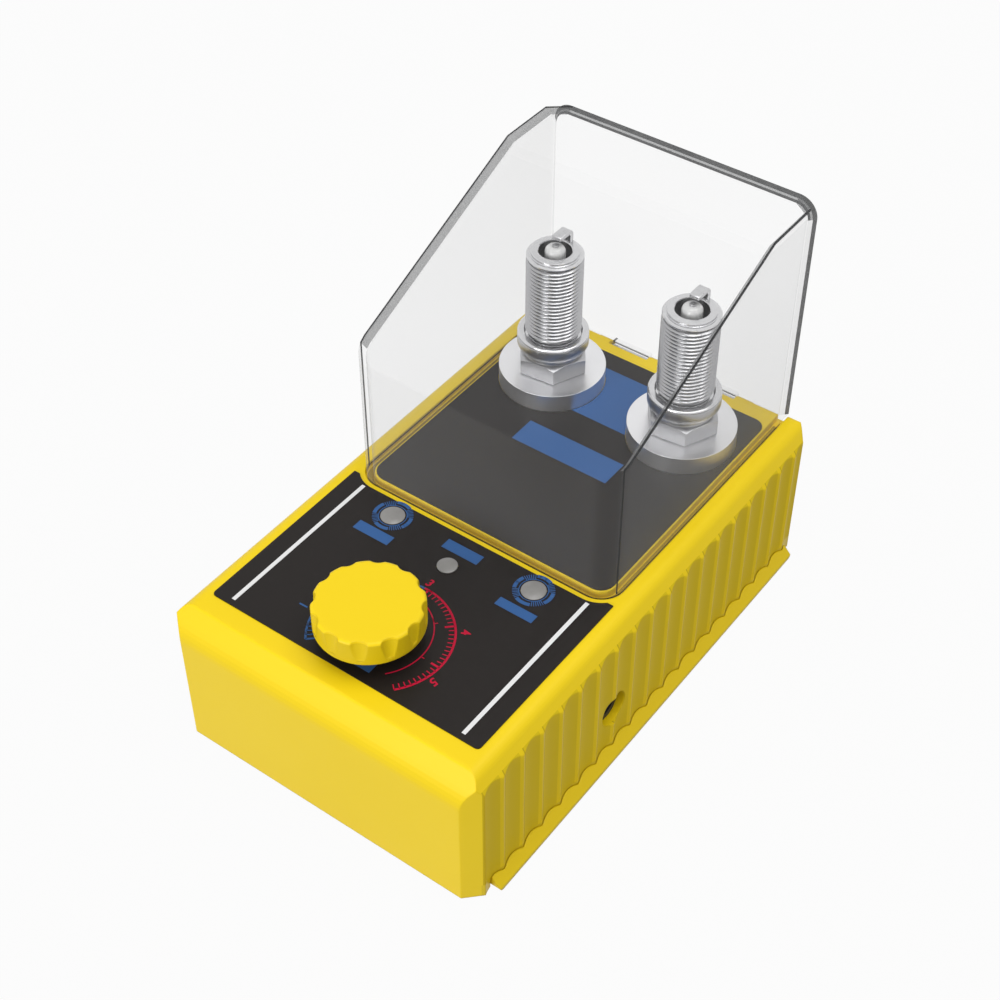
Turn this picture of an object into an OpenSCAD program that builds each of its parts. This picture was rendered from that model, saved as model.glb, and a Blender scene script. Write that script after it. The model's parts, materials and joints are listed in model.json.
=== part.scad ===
// Bench tester for two spark plugs: a fluted yellow case, a hinged clear hood over two
// earth rings, a speed knob with its dial, and the sparking electronics inside.
// Millimetres. X to the right, Y to the back, Z up; the origin lies under the middle of the case.

/* [Case] */
// Length of the case, front to back
case_l = 139; // [130:1:150]
// Width of the case over the flute ridges
case_w = 86; // [82:1:92]
// Height of the deck above the underside of the case
deck_h = 40; // [38:1:46]
// Thickness of the case walls
wall = 2.4; // [1.8:0.1:3]
// Thickness of the deck
deck_t = 3; // [2.6:0.1:4]
// Flat across each upright corner, measured along the faces
corner_cut = 4; // [2:0.5:6]
// How far the side shoulders slope inwards
side_shoulder = 3; // [2:0.25:4]
// How far the side shoulders slope downwards
side_drop = 5; // [3.5:0.5:7]
// How far the front shoulder slopes inwards
front_shoulder = 4.6; // [3:0.2:6]
// How far the front shoulder slopes downwards
front_drop = 6; // [4:0.5:8]
// Rounding along the top of the side shoulders
side_edge_r = 3.5; // [1:0.25:4]
// Rounding along the foot of the side shoulders
side_foot_r = 2; // [1:0.5:7]
// Rounding along the top of the front shoulder
front_edge_r = 0.9; // [0.5:0.1:2]
// Rounding along the foot of the front shoulder
front_foot_r = 9; // [2:0.5:10]
// Rounding along the back of the deck
back_edge_r = 2; // [0.5:0.25:3]

/* [Flutes] */
// Flutes along each long side
flute_count = 19; // [12:1:19]
// Distance from one flute to the next
flute_pitch = 7.1; // [6:0.1:7.1]
// Depth of a flute
flute_depth = 0.7; // [0.4:0.1:1.2]
// Width of the ridge between two flutes
flute_ridge = 0.5; // [0.4:0.1:1.6]
// How far the row of flutes lies behind the middle
flute_shift = 1.15; // [-2:0.05:2]

/* [Bottom cover] */
// Thickness of the bottom plate
plate_t = 2.4; // [2:0.1:2.8]
// How far the plinth strips stand out beyond the flute ridges
plinth_lip = 2; // [1:0.1:3]
// How far the plinth strips end inside the front and back of the case
plinth_inset = 6.35; // [5.5:0.05:10]
// Upright height of the plinth strips, below their slope
plinth_h = 0.8; // [0.4:0.1:1.6]
// Height of the plinth strips where they meet the flute ridges
plinth_top = 3; // [2.9:0.1:4]
// Rounding of the plinth strips' ends
plinth_end_r = 1.2; // [0.5:0.1:1.4]
// Seam between the plinth strips and the flutes
seam = 0.15; // [0.1:0.05:0.3]
// Diameter of a rubber foot
foot_d = 10; // [6:1:14]
// How far a foot stands out below the plate
foot_proud = 1; // [0.5:0.25:3]
// Depth of the recess that holds a foot
foot_recess = 0.8; // [0.4:0.1:1.2]
// Feet, inside the inner faces of the side walls
foot_side = 9.9; // [7:0.1:14]
// Feet, inside the front and back of the case
foot_end = 23.5; // [21:0.5:30]

/* [Screws] */
// Case screws, inside the inner faces of the side walls
boss_side = 3.2; // [2.6:0.1:4]
// Case screws, inside the front and back of the case
boss_end = 11.5; // [10.5:0.5:14]
// Diameter of the case screw posts
boss_d = 7.2; // [6:0.2:8]
// Shank diameter of the case screws
case_screw_d = 2.5; // [2:0.1:3]
// Length of the case screw shanks
case_screw_l = 12; // [8:1:16]
// Head diameter of the case screws
case_head_d = 5.4; // [4.6:0.2:5.8]
// Head height of the case screws
case_head_h = 1.5; // [1:0.1:1.6]
// Shank diameter of the board screws
board_screw_d = 1.7; // [1.4:0.1:2]
// Head diameter of the board screws
board_head_d = 4; // [3.4:0.2:4.4]
// Head height of the board screws
board_head_h = 1.3; // [1:0.1:1.8]
// Free depth below the tip of a screw
screw_tip_gap = 0.8; // [0.4:0.1:1.2]

/* [Hood] */
// Width of the clear hood
hood_w = 72; // [70:0.5:73]
// Front face of the hood, in front of the middle of the case
hood_front = 10.8; // [8:0.2:12]
// How far the back of the hood stays inside the back of the case
hood_back_inset = 0.2; // [0.2:0.1:0.6]
// Height of the hood's upright front above the deck
hood_front_h = 36; // [30:1:44]
// Height of the hood's top above the deck
hood_top_h = 62.8; // [60:0.5:72]
// Length of the level top of the hood
hood_flat_l = 19.5; // [14:0.5:26]
// Wall of the hood
hood_t = 1.6; // [1.2:0.1:2]
// Rounding of the hood's front corners, seen from above
hood_r = 6; // [4:0.5:9]
// Rounding of the hood's top corners at the back
hood_back_r = 5; // [4:0.5:8]
// Length of the rounded zone at the back
hood_back_zone = 4; // [4:0.5:8]
// Depth of the groove that takes the hood's edge
groove_depth = 1.8; // [1.2:0.1:2]
// Clearance of the hood's edge in its groove
groove_gap = 0.35; // [0.25:0.05:0.5]
// Gap between the hood's back and the back of the deck
hood_back_gap = 0.15; // [0.1:0.05:0.3]

/* [Hinge] */
// Length of a hinge lug on the hood
lug_l = 11; // [8:0.5:14]
// Distance between the two lugs
lug_spacing = 25.8; // [24:0.2:30]
// The pair of lugs, to the right of the middle
lug_shift = 3.4; // [-4:0.2:4]
// Hinge axis, below the deck
hinge_drop = 2.2; // [2.1:0.1:2.6]
// Hinge axis, in front of the back of the case
hinge_inset = 1.6; // [1.5:0.05:1.8]
// Barrel diameter of lugs and ears
barrel_d = 3; // [2.8:0.1:3.4]
// Hinge pin diameter
hinge_pin_d = 1.5; // [1:0.1:1.6]
// Length of an ear beside a lug
ear_l = 4; // [3:0.5:5]
// Side gap between a lug and its ears
lug_gap = 0.3; // [0.2:0.05:0.5]
// Radial clearance of the lugs on their pins
hinge_fit = 0.05; // [0.02:0.01:0.1]
// Clearance between the hood's back and the ears below it
ear_gap = 0.5; // [0.4:0.05:0.6]
// Ledge behind the deck, below the hinge axis
ledge_drop = 1; // [0.8:0.1:1.4]

/* [Labels] */
// Thickness of the printed films
film_t = 0.3; // [0.2:0.05:0.5]
// Width of the front film
front_film_w = 74; // [70:0.5:76]
// Front edge of the front film, behind the front face of the case
front_film_inset = 9.6; // [8:0.2:12]
// Back horns of the front film, in front of the middle
front_film_back = 10.2; // [9:0.2:11]
// Yellow lip between the front film and the hood's groove
film_lip = 1.3; // [0.6:0.1:2]
// Lip between the rear film and the groove
rear_film_lip = 0.4; // [0.3:0.1:1]
// Back edge of the rear film, in front of the back of the case
rear_film_inset = 7; // [6:0.25:9]
// Rounding of the films' corners
film_r = 1; // [0.5:0.25:2]
// Rounding of the rear film's corners
rear_film_r = 3; // [1:0.5:4]

/* [Spark plugs] */
// Gap between an earth ring and the side wall of the hood
ring_gap = 1.9; // [1.4:0.1:3]
// Plug axes, in front of the back of the case
plug_inset = 23.4; // [22.5:0.1:26]
// Diameter of an earth ring
ring_d = 26.8; // [22:0.2:28]
// Height of an earth ring above the deck
ring_h = 5; // [3:0.25:7]
// Bore of an earth ring
ring_bore_d = 13; // [12.4:0.2:14]
// Diameter of the ring's spigot through the deck
ring_spigot_d = 17; // [15.5:0.5:19]
// Hexagon of the plug, across flats
hex_af = 16; // [15:0.5:18]
// Height of the hexagon
hex_h = 5; // [4:0.1:8]
// How far the chamfer on the hexagon's corners reaches into the flats
hex_chamfer = 0.2; // [0.1:0.05:0.4]
// Angle of that chamfer from the plug's axis
hex_chamfer_angle = 60; // [50:1:70]
// Turn of the hexagon about its axis
hex_turn = 6; // [0:1:59]
// Diameter of the neck between hexagon and collar
neck_d = 15.2; // [14.4:0.2:16]
// Height of that neck
neck_h = 2; // [1:0.1:3]
// Diameter of the collar
collar_d = 17.8; // [16.4:0.2:18.4]
// Height of the collar
collar_h = 3; // [1:0.1:4]
// Thickness of the gasket
gasket_t = 0.7; // [0.5:0.1:2]
// Diameter over the thread
thread_d = 14; // [12:0.25:14]
// Reach of the thread above the collar
reach = 24.5; // [19:0.1:26.5]
// Diameter of the rim at the sparking end
rim_d = 11.8; // [11:0.1:12.5]
// Height of that rim
rim_h = 0.8; // [0.4:0.1:1.5]
// Chamfer at the upper end of the thread
tip_chamfer = 0.4; // [0.2:0.1:0.8]
// Bore of the sparking end
nose_bore_d = 8.1; // [7.4:0.1:9]
// Diameter of the insulator's nose
nose_d = 5.1; // [4.4:0.1:6]
// How far the nose stands above the rim
nose_proud = 1; // [0.6:0.1:2]
// Diameter of the insulator below the hexagon
insulator_d = 11.2; // [10:0.1:11.6]
// Length of the insulator below the hexagon
insulator_l = 24.6; // [20:0.1:26]
// Grooves round the lower insulator
insulator_ribs = 5; // [3:1:6]
// Diameter of the terminal
terminal_d = 6.3; // [5.5:0.1:6.5]
// Length of the terminal
terminal_l = 8; // [6:0.5:8]
// Rounding of the terminal's tip
terminal_r = 0.8; // [0.4:0.1:1.2]
// Diameter of the centre electrode
electrode_d = 1.6; // [1:0.1:2]
// How far the centre electrode stands above the nose
electrode_proud = 0.5; // [0.2:0.1:1]
// Spark gap between the centre electrode and the strap
spark_gap = 0.7; // [0.6:0.1:1.4]
// Width of the earth strap
strap_w = 2.7; // [2:0.1:3]
// Thickness of the earth strap
strap_t = 1.3; // [1:0.1:1.6]
// Turn of the strap about the plug's axis
strap_turn = 90; // [0:1:359]
// How far the strap reaches beyond the plug's axis
strap_over = 0.2; // [0:0.1:0.8]
// Rounding of the strap's bend
strap_bend_r = 1.6; // [1:0.1:2]
// Rounding inside that bend
strap_inner_r = 0.4; // [0.2:0.1:0.6]
// Step of the insulator where it enters the hexagon
insulator_step = 0.6; // [0.4:0.1:1]
// Rounding of the insulator's lower end
insulator_end_r = 1; // [0.5:0.1:1.5]
// Rounding of the nose
nose_r = 1.4; // [0.8:0.1:1.6]
// Radius of a groove round the insulator
groove_r = 0.9; // [0.6:0.1:1.1]
// Fit of the inner plug pieces on each other
plug_fit = 0.05; // [0.02:0.01:0.1]

/* [Plug sockets] */
// Bore of the socket sleeves
sleeve_bore_d = 13.4; // [12.8:0.2:14]
// Outer diameter of the socket sleeves
sleeve_d = 17; // [16:0.25:18]
// Flange diameter of the socket sleeves
sleeve_flange_d = 24; // [20:0.5:26]
// Flange thickness, and floor of the sleeve
sleeve_t = 1.6; // [1.2:0.1:2]
// Diameter of the high tension contact
contact_d = 8.6; // [8:0.1:9.6]
// Clearance of the terminal in its contact cup
contact_gap = 0.3; // [0.2:0.05:0.5]
// Depth of the contact cup
cup_depth = 4; // [3:0.25:6]
// Diameter of the high tension lead
lead_d = 2.2; // [1.6:0.1:2.6]
// Height of the high tension lead above the board
lead_z = 1.8; // [1.4:0.1:3]
// How far the lead enters its contact and its coil
lead_grip = 1.8; // [1:0.1:2.5]

/* [Electronics] */
// Width of the circuit board
board_w = 68; // [60:1:72]
// Front edge of the board, behind the front of the case
board_inset = 16; // [15.5:0.5:22]
// Gap between the board and the socket sleeves
board_gap = 2.6; // [1.6:0.2:4]
// Thickness of the board
board_t = 1.6; // [1:0.1:2]
// Height of the posts under the board
post_h = 4.6; // [3:0.1:6]
// Diameter of the posts under the board
post_d = 5.2; // [4.6:0.2:6]
// Board screws, inside the side edges of the board
post_edge = 3; // [2.8:0.1:5]
// Front board screws, behind the front edge of the board
post_front_edge = 4.5; // [3.5:0.5:8]
// Back board screws, in front of the coils
post_coil_gap = 5.1; // [4:0.1:7]
// Ignition coil, width
coil_w = 20; // [16:0.5:22]
// Ignition coil, length
coil_l = 18; // [14:0.5:19]
// Ignition coil, height
coil_h = 16; // [12:0.5:22]
// Height of the coil's raised top
coil_step = 3.2; // [2:0.2:5]
// Edge round the coil's raised top
coil_edge = 2; // [1:0.25:3]
// Back of the coils, in front of the plug axes
coil_inset = 15; // [13.5:0.5:16]
// Diameter of the smoothing capacitors
cap_d = 8; // [6:0.5:10]
// Height of the smoothing capacitors
cap_h = 12; // [8:0.5:16]
// Crimp at the top of a capacitor
cap_crimp = 0.5; // [0.3:0.1:0.8]
// Length of the driver chip
chip_l = 10; // [8:0.5:14]
// Width of the driver chip
chip_w = 7; // [5:0.5:9]
// Thickness of the driver chip
chip_t = 2.4; // [1.6:0.1:3]
// Pins along each side of the driver chip
chip_pins = 5; // [4:1:6]
// Width of a pin
chip_pin_w = 0.6; // [0.4:0.1:0.8]
// Length of a pin
chip_pin_l = 1.8; // [1.4:0.1:2.4]
// Height of a pin, which holds the chip off the board
chip_pin_h = 1; // [0.8:0.1:1.4]
// Gap between the driver chip and the board
chip_gap = 0.4; // [0.2:0.1:0.6]
// Power socket axis, in front of the middle
jack_y = 16.1; // [14:0.1:18]
// Power socket axis, above the underside of the case
jack_z = 14.4; // [13.5:0.1:15.5]
// Width of the power socket
jack_w = 9; // [8.6:0.2:10]
// Length of the power socket
jack_l = 14; // [12:0.5:15]
// Hole for the power socket in the case
jack_hole_d = 9; // [8.8:0.1:10]
// Bore of the power socket
jack_bore_d = 5.5; // [5.5:0.1:6.3]
// Pin of the power socket
jack_pin_d = 2.1; // [2:0.1:2.5]
// Solid back of the power socket
jack_floor = 3; // [2:0.5:4]
// How far the power socket's nose enters the case wall
jack_nose = 0.6; // [0.3:0.1:1.4]
// How far the pin stays inside the mouth
jack_pin_inset = 1; // [0.5:0.25:2]
// Gap between the power socket's nose and the hole
jack_gap = 0.3; // [0.2:0.05:0.4]

/* [Lamps] */
// Signal lamps, left and right of the middle
signal_x = 20.1; // [18:0.1:24]
// Signal lamps, in front of the hood
signal_front = 6; // [5.2:0.1:9]
// Power lamp, in front of the hood
power_front = 11.4; // [9:0.1:13]
// Diameter of a signal lens
signal_d = 5.8; // [4:0.1:7]
// Diameter of the power lens
power_d = 4.8; // [3:0.1:6]
// How far a lens stands above the film
lens_proud = 0.6; // [0.3:0.1:1.5]
// Radius of a lens's dome
lens_dome = 8; // [5:0.5:12]
// Flange of a lens under the deck, wider than the lens
lens_flange = 1.8; // [1:0.2:3]
// Thickness of that flange
lens_flange_t = 1; // [0.6:0.1:1.5]
// Clearance of a lens in its hole
lens_gap = 0.05; // [0.03:0.01:0.15]

/* [Knob] */
// Knob axis, behind the front of the case
knob_inset = 20.7; // [19.5:0.1:24]
// Knob axis, to the right of the middle
knob_x = -0.5; // [-2:0.1:2]
// Diameter of the knob
knob_d = 25; // [22:0.2:27]
// Height of the knob
knob_h = 6.6; // [5.8:0.1:9]
// Gap under the knob
knob_gap = 4.5; // [3.2:0.1:6]
// Finger scallops round the knob
scallops = 12; // [10:1:14]
// Diameter of a scallop's cutter
scallop_d = 5.6; // [4.6:0.2:6]
// Depth of a scallop at the top of the knob
scallop_depth = 1; // [0.7:0.05:1.2]
// Depth of a scallop where it ends on the plain rim
scallop_foot = 0.15; // [0.1:0.05:0.3]
// Height of the plain rim under the scallops
knob_skirt = 1.4; // [1.2:0.1:2]
// Rounding of the knob's top edge
knob_top_r = 0.8; // [0.4:0.1:1.2]
// Rounding of the knob's lower edge
knob_rim_r = 0.5; // [0.3:0.1:1]
// Wall of the knob round its hollow underside
knob_wall = 2.4; // [2:0.1:3]
// Depth of the hollow underside
knob_hollow = 3.4; // [2.4:0.1:4]
// Diameter of the hub in the hollow
knob_hub_d = 10; // [9:0.5:12]
// Thickness of the knob over the shaft
knob_roof = 1.5; // [1.2:0.1:2]
// Radial fit of the knob on its shaft
knob_fit = 0.02; // [0.01:0.01:0.05]
// Diameter of the control's shaft
shaft_d = 6; // [5:0.25:6]
// Diameter of the control's threaded bush
bush_d = 7.5; // [7.1:0.1:8]
// Height of the bush above the film
bush_h = 2.6; // [2.2:0.1:3]
// Fixing nut of the control, across flats
nut_af = 10; // [9:0.5:11]
// Thickness of the fixing nut
nut_t = 2; // [1.4:0.1:2.2]
// Diameter of the control's body
control_d = 17; // [14:0.5:20]
// Depth of the control's body under the deck
control_h = 9; // [7:0.5:12]
// Floor of the control under its shaft
control_floor = 1.2; // [0.8:0.1:2]
// End gap of the shaft, below it and above it
shaft_end_gap = 0.3; // [0.1:0.05:0.5]
// Running clearance of the shaft in the bush
shaft_fit = 0.1; // [0.05:0.01:0.15]

/* [Hidden] */
$fn = 64;

small = 0.01;
arc_steps = 5;
screw_fit = 0.05;
case_x = case_w / 2;
case_y = case_l / 2;
deck_under = deck_h - deck_t;
film_top = deck_h + film_t;
inner_x = case_x - flute_depth - wall;
inner_y = case_y - wall;
plinth_l = case_l - 2 * plinth_inset;
plinth_x = case_x + plinth_lip;
foot_x = inner_x - foot_side;
foot_y = case_y - foot_end;
boss_x = inner_x - boss_side;
boss_y = case_y - boss_end;
// A flute is an arc through two ridges that is one flute's depth deep
flute_half = (flute_pitch - flute_ridge) / 2;
flute_r = (flute_half * flute_half + flute_depth * flute_depth) / (2 * flute_depth);

hood_x = hood_w / 2;
hood_back = case_y - hood_back_inset;
hood_kink_y = hood_back - hood_flat_l;
hinge_y = case_y - hinge_inset;
hinge_z = deck_h - hinge_drop;
deck_back = hood_back - hood_t - hood_back_gap;
lug_x = [lug_shift - lug_spacing / 2, lug_shift + lug_spacing / 2];
// The lower edge of the hood's back turns clear of the ears
hood_back_bottom = hinge_z + barrel_d / 2 + ear_gap;
ledge_z = hinge_z - ledge_drop;

plug_x = hood_x - hood_t - ring_gap - ring_d / 2;
plug_y = case_y - plug_inset;
board_z = plate_t + post_h;
board_top = board_z + board_t;
ring_top = deck_h + ring_h;
plug_tip = hex_h + neck_h + collar_h + reach;
plug_low = insulator_l + terminal_l;
contact_floor = plate_t + sleeve_t;
contact_top = ring_top - plug_low - contact_gap + cup_depth;
coil_back = plug_y - coil_inset;
board_front = case_y - board_inset;
board_back = plug_y - sleeve_d / 2 - board_gap;
post_x = board_w / 2 - post_edge;
post_front = board_front - post_front_edge;
post_back = coil_back - coil_l - post_coil_gap;
signal_y = hood_front + signal_front;
power_y = hood_front + power_front;
knob_y = case_y - knob_inset;
knob_base = film_top + knob_gap;
strap_low = plug_tip + nose_proud + electrode_proud + spark_gap;

// Rounded outlines
function unit(v) = v / norm(v);
function fillet(a, b, c, r) =
    let (u = unit(a - b), v = unit(c - b), half = acos(u * v) / 2, t = r / tan(half),
         middle = b + unit(u + v) * r / sin(half), s = b + u * t - middle, e = b + v * t - middle,
         turn = 180 - 2 * half)
    [for (k = [0:arc_steps])
        let (q = k / arc_steps)
        middle + (s * sin((1 - q) * turn) + e * sin(q * turn)) / sin(turn)];
function rounded(p, r) =
    let (n = len(p))
    [for (i = [0:n - 1])
        each (r[i] == 0 ? [p[i]] : fillet(p[(i + n - 1) % n], p[i], p[(i + 1) % n], r[i]))];

module lifted() {
    translate([0, 0, foot_proud]) children();
}
module four(x, y) {
    for (sx = [-1, 1], sy = [-1, 1]) translate([sx * x, sy * y, 0]) children();
}
// A profile drawn in Y and Z, drawn out to both sides along X
module across_x(width) {
    rotate([90, 0, 90]) linear_extrude(width, center = true) children();
}
// A profile drawn in X and Z, drawn out to front and back along Y
module across_y(length) {
    rotate([90, 0, 0]) linear_extrude(length, center = true) children();
}
module cut_corners(x, y, cut) {
    polygon([[-x + cut, -y], [x - cut, -y], [x, -y + cut], [x, y - cut],
             [x - cut, y], [-x + cut, y], [-x, y - cut], [-x, -y + cut]]);
}

// Case
module case_outline(grow = 0) {
    difference() {
        cut_corners(case_x + grow, case_y + grow, corner_cut);
        for (side = [-1, 1], i = [0:flute_count - 1])
            translate([side * (case_x - flute_depth + flute_r),
                       (i - (flute_count - 1) / 2) * flute_pitch + flute_shift])
                circle(flute_r - grow);
    }
}
module case_block() {
    side_low = deck_h - side_drop;
    front_low = deck_h - front_drop;
    crease_x = case_x - side_shoulder;
    crease_y = case_y - front_shoulder;
    side = case_x + small;
    end = case_y + small;
    intersection() {
        linear_extrude(deck_h) case_outline();
        across_y(case_l + 2)
            polygon(rounded([[-side, -1], [side, -1], [side, side_low], [crease_x, deck_h],
                             [-crease_x, deck_h], [-side, side_low]],
                            [0, 0, side_foot_r, side_edge_r, side_edge_r, side_foot_r]));
        across_x(case_w + 2)
            polygon(rounded([[-end, -1], [end, -1], [end, deck_h], [-crease_y, deck_h], [-end, front_low]],
                            [0, 0, back_edge_r, front_edge_r, front_foot_r]));
    }
}
module case_cavity() {
    intersection() {
        translate([0, 0, -1]) linear_extrude(deck_h) cut_corners(inner_x, inner_y, corner_cut);
        across_y(case_l)
            polygon([[-inner_x, -1], [inner_x, -1], [inner_x, deck_under - side_drop],
                     [inner_x - side_shoulder, deck_under], [side_shoulder - inner_x, deck_under],
                     [-inner_x, deck_under - side_drop]]);
        across_x(case_w)
            polygon([[-inner_y, -1], [inner_y, -1], [inner_y, deck_under - front_drop],
                     [inner_y - front_shoulder, deck_under], [front_shoulder - inner_y, deck_under],
                     [-inner_y, deck_under - front_drop]]);
    }
}
module hinge_ears() {
    for (x = lug_x, side = [-1, 1])
        translate([x + side * (lug_l / 2 + lug_gap + ear_l / 2), hinge_y, hinge_z]) {
            rotate([0, 90, 0]) cylinder(d = barrel_d, h = ear_l, center = true);
            translate([-ear_l / 2, -barrel_d / 2, ledge_z - hinge_z - small])
                cube([ear_l, barrel_d, hinge_z - ledge_z + small]);
        }
}
module hinge_notches() {
    reach_r = barrel_d / 2 + groove_gap;
    for (x = lug_x)
        translate([x, hinge_y, hinge_z]) {
            rotate([0, 90, 0]) cylinder(r = reach_r, h = lug_l + 2 * lug_gap, center = true);
            translate([-lug_l / 2 - lug_gap, -reach_r, 0])
                cube([lug_l + 2 * lug_gap, case_l, hinge_drop + 1]);
            // Room behind the axis for the lug's web when the hood stands open
            translate([-lug_l / 2 - lug_gap, 0, -reach_r - groove_gap])
                cube([lug_l + 2 * lug_gap, case_l, reach_r + groove_gap + small]);
        }
}
module hinge_bores(d) {
    for (x = lug_x)
        translate([x, hinge_y, hinge_z]) rotate([0, 90, 0])
            cylinder(d = d, h = lug_l + 2 * lug_gap + 2 * ear_l + 2 * small, center = true);
}
module upper_case() {
    color("gold") lifted() difference() {
        union() {
            difference() {
                case_block();
                case_cavity();
                // Groove for the hood's edge, and the ledge behind the deck
                translate([0, 0, deck_h - groove_depth]) linear_extrude(deck_h) difference() {
                    hood_outline(groove_gap);
                    hood_outline(-hood_t - groove_gap, case_l);
                }
                translate([-hood_x - groove_gap, deck_back, ledge_z])
                    cube([hood_w + 2 * groove_gap, case_l, deck_h]);
            }
            hinge_ears();
            four(boss_x, boss_y) intersection() {
                translate([0, 0, plate_t]) cylinder(d = boss_d, h = deck_under - plate_t + small);
                translate([-boss_d, -boss_d, 0]) cube([2 * boss_d, 2 * boss_d, deck_h]);
            }
        }
        hinge_notches();
        hinge_bores(hinge_pin_d + 2 * screw_fit);
        // Seat of the bottom cover under the long walls
        translate([-case_w, -plinth_l / 2 - seam, -1]) cube([2 * case_w, plinth_l + 2 * seam, plate_t + 1]);
        four(boss_x, boss_y) cylinder(d = case_screw_d + 2 * screw_fit, h = plate_t + case_screw_l);
        translate([0, -jack_y, jack_z]) rotate([0, 90, 0]) cylinder(d = jack_hole_d, h = case_w);
        for (side = [-1, 1]) {
            translate([side * plug_x, plug_y, 0]) cylinder(d = ring_spigot_d + 2 * screw_fit, h = case_l);
            translate([side * signal_x, -signal_y, 0]) cylinder(d = signal_d + 2 * lens_gap, h = case_l);
        }
        translate([0, -power_y, 0]) cylinder(d = power_d + 2 * lens_gap, h = case_l);
        translate([knob_x, -knob_y, 0]) cylinder(d = bush_d + 2 * screw_fit, h = case_l);
    }
}
module plinth_strip() {
    root_x = inner_x - wall;
    half = plinth_l / 2;
    // The slope runs on into the flutes
    high = plinth_top + flute_depth * (plinth_top - plinth_h) / plinth_lip;
    difference() {
        intersection() {
            across_y(plinth_l)
                polygon([[root_x, 0], [plinth_x, 0], [plinth_x, plinth_h], [case_x - flute_depth, high],
                         [root_x, high]]);
            across_x(2 * case_w)
                polygon(rounded([[-half, 0], [half, 0], [half, high], [-half, high]],
                                [plinth_end_r, plinth_end_r, plinth_end_r, plinth_end_r]));
        }
        translate([0, 0, plate_t]) linear_extrude(deck_h) case_outline(seam);
    }
}
module bottom_cover() {
    color("gold") lifted() difference() {
        union() {
            linear_extrude(plate_t) cut_corners(inner_x - seam, inner_y - seam, corner_cut);
            for (side = [0, 1]) mirror([side, 0, 0]) plinth_strip();
            board_posts() cylinder(d = post_d, h = board_z);
        }
        four(boss_x, boss_y) {
            translate([0, 0, -1]) cylinder(d = case_screw_d + 4 * screw_fit, h = deck_h);
            translate([0, 0, -1]) cylinder(d = case_head_d + 4 * screw_fit, h = case_head_h + 1);
        }
        four(foot_x, foot_y) translate([0, 0, -1]) cylinder(d = foot_d + 2 * screw_fit, h = foot_recess + 1);
        board_posts() translate([0, 0, plate_t]) cylinder(d = board_screw_d + 2 * screw_fit, h = deck_h);
    }
}
module case_screws() {
    color("silver") lifted() four(boss_x, boss_y) {
        cylinder(d = case_head_d, h = case_head_h);
        cylinder(d = case_screw_d, h = plate_t + case_screw_l - screw_tip_gap);
    }
}
module rubber_feet() {
    color("dimgray") lifted() four(foot_x, foot_y)
        translate([0, 0, -foot_proud]) cylinder(d = foot_d, h = foot_proud + foot_recess);
}

// Films on the deck
module front_label() {
    x = front_film_w / 2;
    front = case_y - front_film_inset;
    color("dimgray") lifted() translate([0, 0, deck_h]) linear_extrude(film_t) difference() {
        polygon(rounded([[-x, -front], [x, -front], [x, -front_film_back], [-x, -front_film_back]],
                        [film_r, film_r, 0, 0]));
        hood_outline(groove_gap + film_lip);
        for (side = [-1, 1]) translate([side * signal_x, -signal_y]) circle(d = signal_d + 2 * lens_gap);
        translate([0, -power_y]) circle(d = power_d + 2 * lens_gap);
        translate([knob_x, -knob_y]) circle(d = bush_d + 2 * screw_fit);
    }
}
module rear_label() {
    x = hood_x - hood_t - groove_gap - rear_film_lip;
    front = hood_front - hood_t - groove_gap - rear_film_lip;
    back = case_y - rear_film_inset;
    front_r = hood_r - hood_t - groove_gap - rear_film_lip;
    color("dimgray") lifted() translate([0, 0, deck_h]) linear_extrude(film_t) difference() {
        polygon(rounded([[-x, -front], [x, -front], [x, back], [-x, back]],
                        [front_r, front_r, rear_film_r, rear_film_r]));
        for (side = [-1, 1]) translate([side * plug_x, plug_y]) circle(d = ring_d + 4 * screw_fit);
    }
}

// Hood
module hood_outline(grow, extra = 0) {
    x = hood_x + grow;
    r = hood_r + grow;
    front = -hood_front - grow;
    back = hood_back + grow + extra;
    translate([-x, front + r]) square([2 * x, back - front - r]);
    translate([-x + r, front]) square([2 * (x - r), r + small]);
    for (side = [-1, 1]) translate([side * (x - r), front + r]) circle(r);
}
// Side view of the hood, or of its hollow when it is drawn inwards by the wall
module hood_profile(inset) {
    rise = (hood_top_h - hood_front_h) / (hood_kink_y + hood_front);
    drop = inset * sqrt(1 + rise * rise);
    kink = (hood_top_h - inset - hood_front_h + drop) / rise - hood_front;
    polygon([[-hood_front, -deck_h], [hood_back, -deck_h], [hood_back, hood_top_h - inset],
             [kink, hood_top_h - inset], [-hood_front, hood_front_h - drop]]);
}
module hood_form(inset) {
    x = hood_x - inset;
    top = hood_top_h - inset;
    zone = hood_back - hood_back_zone;
    r = hood_back_r - inset;
    translate([0, 0, deck_h]) intersection() {
        translate([0, 0, -deck_h]) linear_extrude(3 * deck_h) hood_outline(-inset);
        across_x(2 * hood_w) hood_profile(inset);
        union() {
            translate([-hood_w, -case_l, -deck_h]) cube([2 * hood_w, case_l + zone, 4 * deck_h]);
            hull() {
                translate([-x, zone, -deck_h]) cube([2 * x, small, deck_h + top]);
                translate([-x, hood_back, -deck_h]) cube([2 * x, small, deck_h + top - r]);
                for (side = [-1, 1])
                    translate([side * (x - r), hood_back + small, top - r]) rotate([90, 0, 0])
                        cylinder(r = r, h = small, $fn = 32);
            }
        }
    }
}
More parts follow.
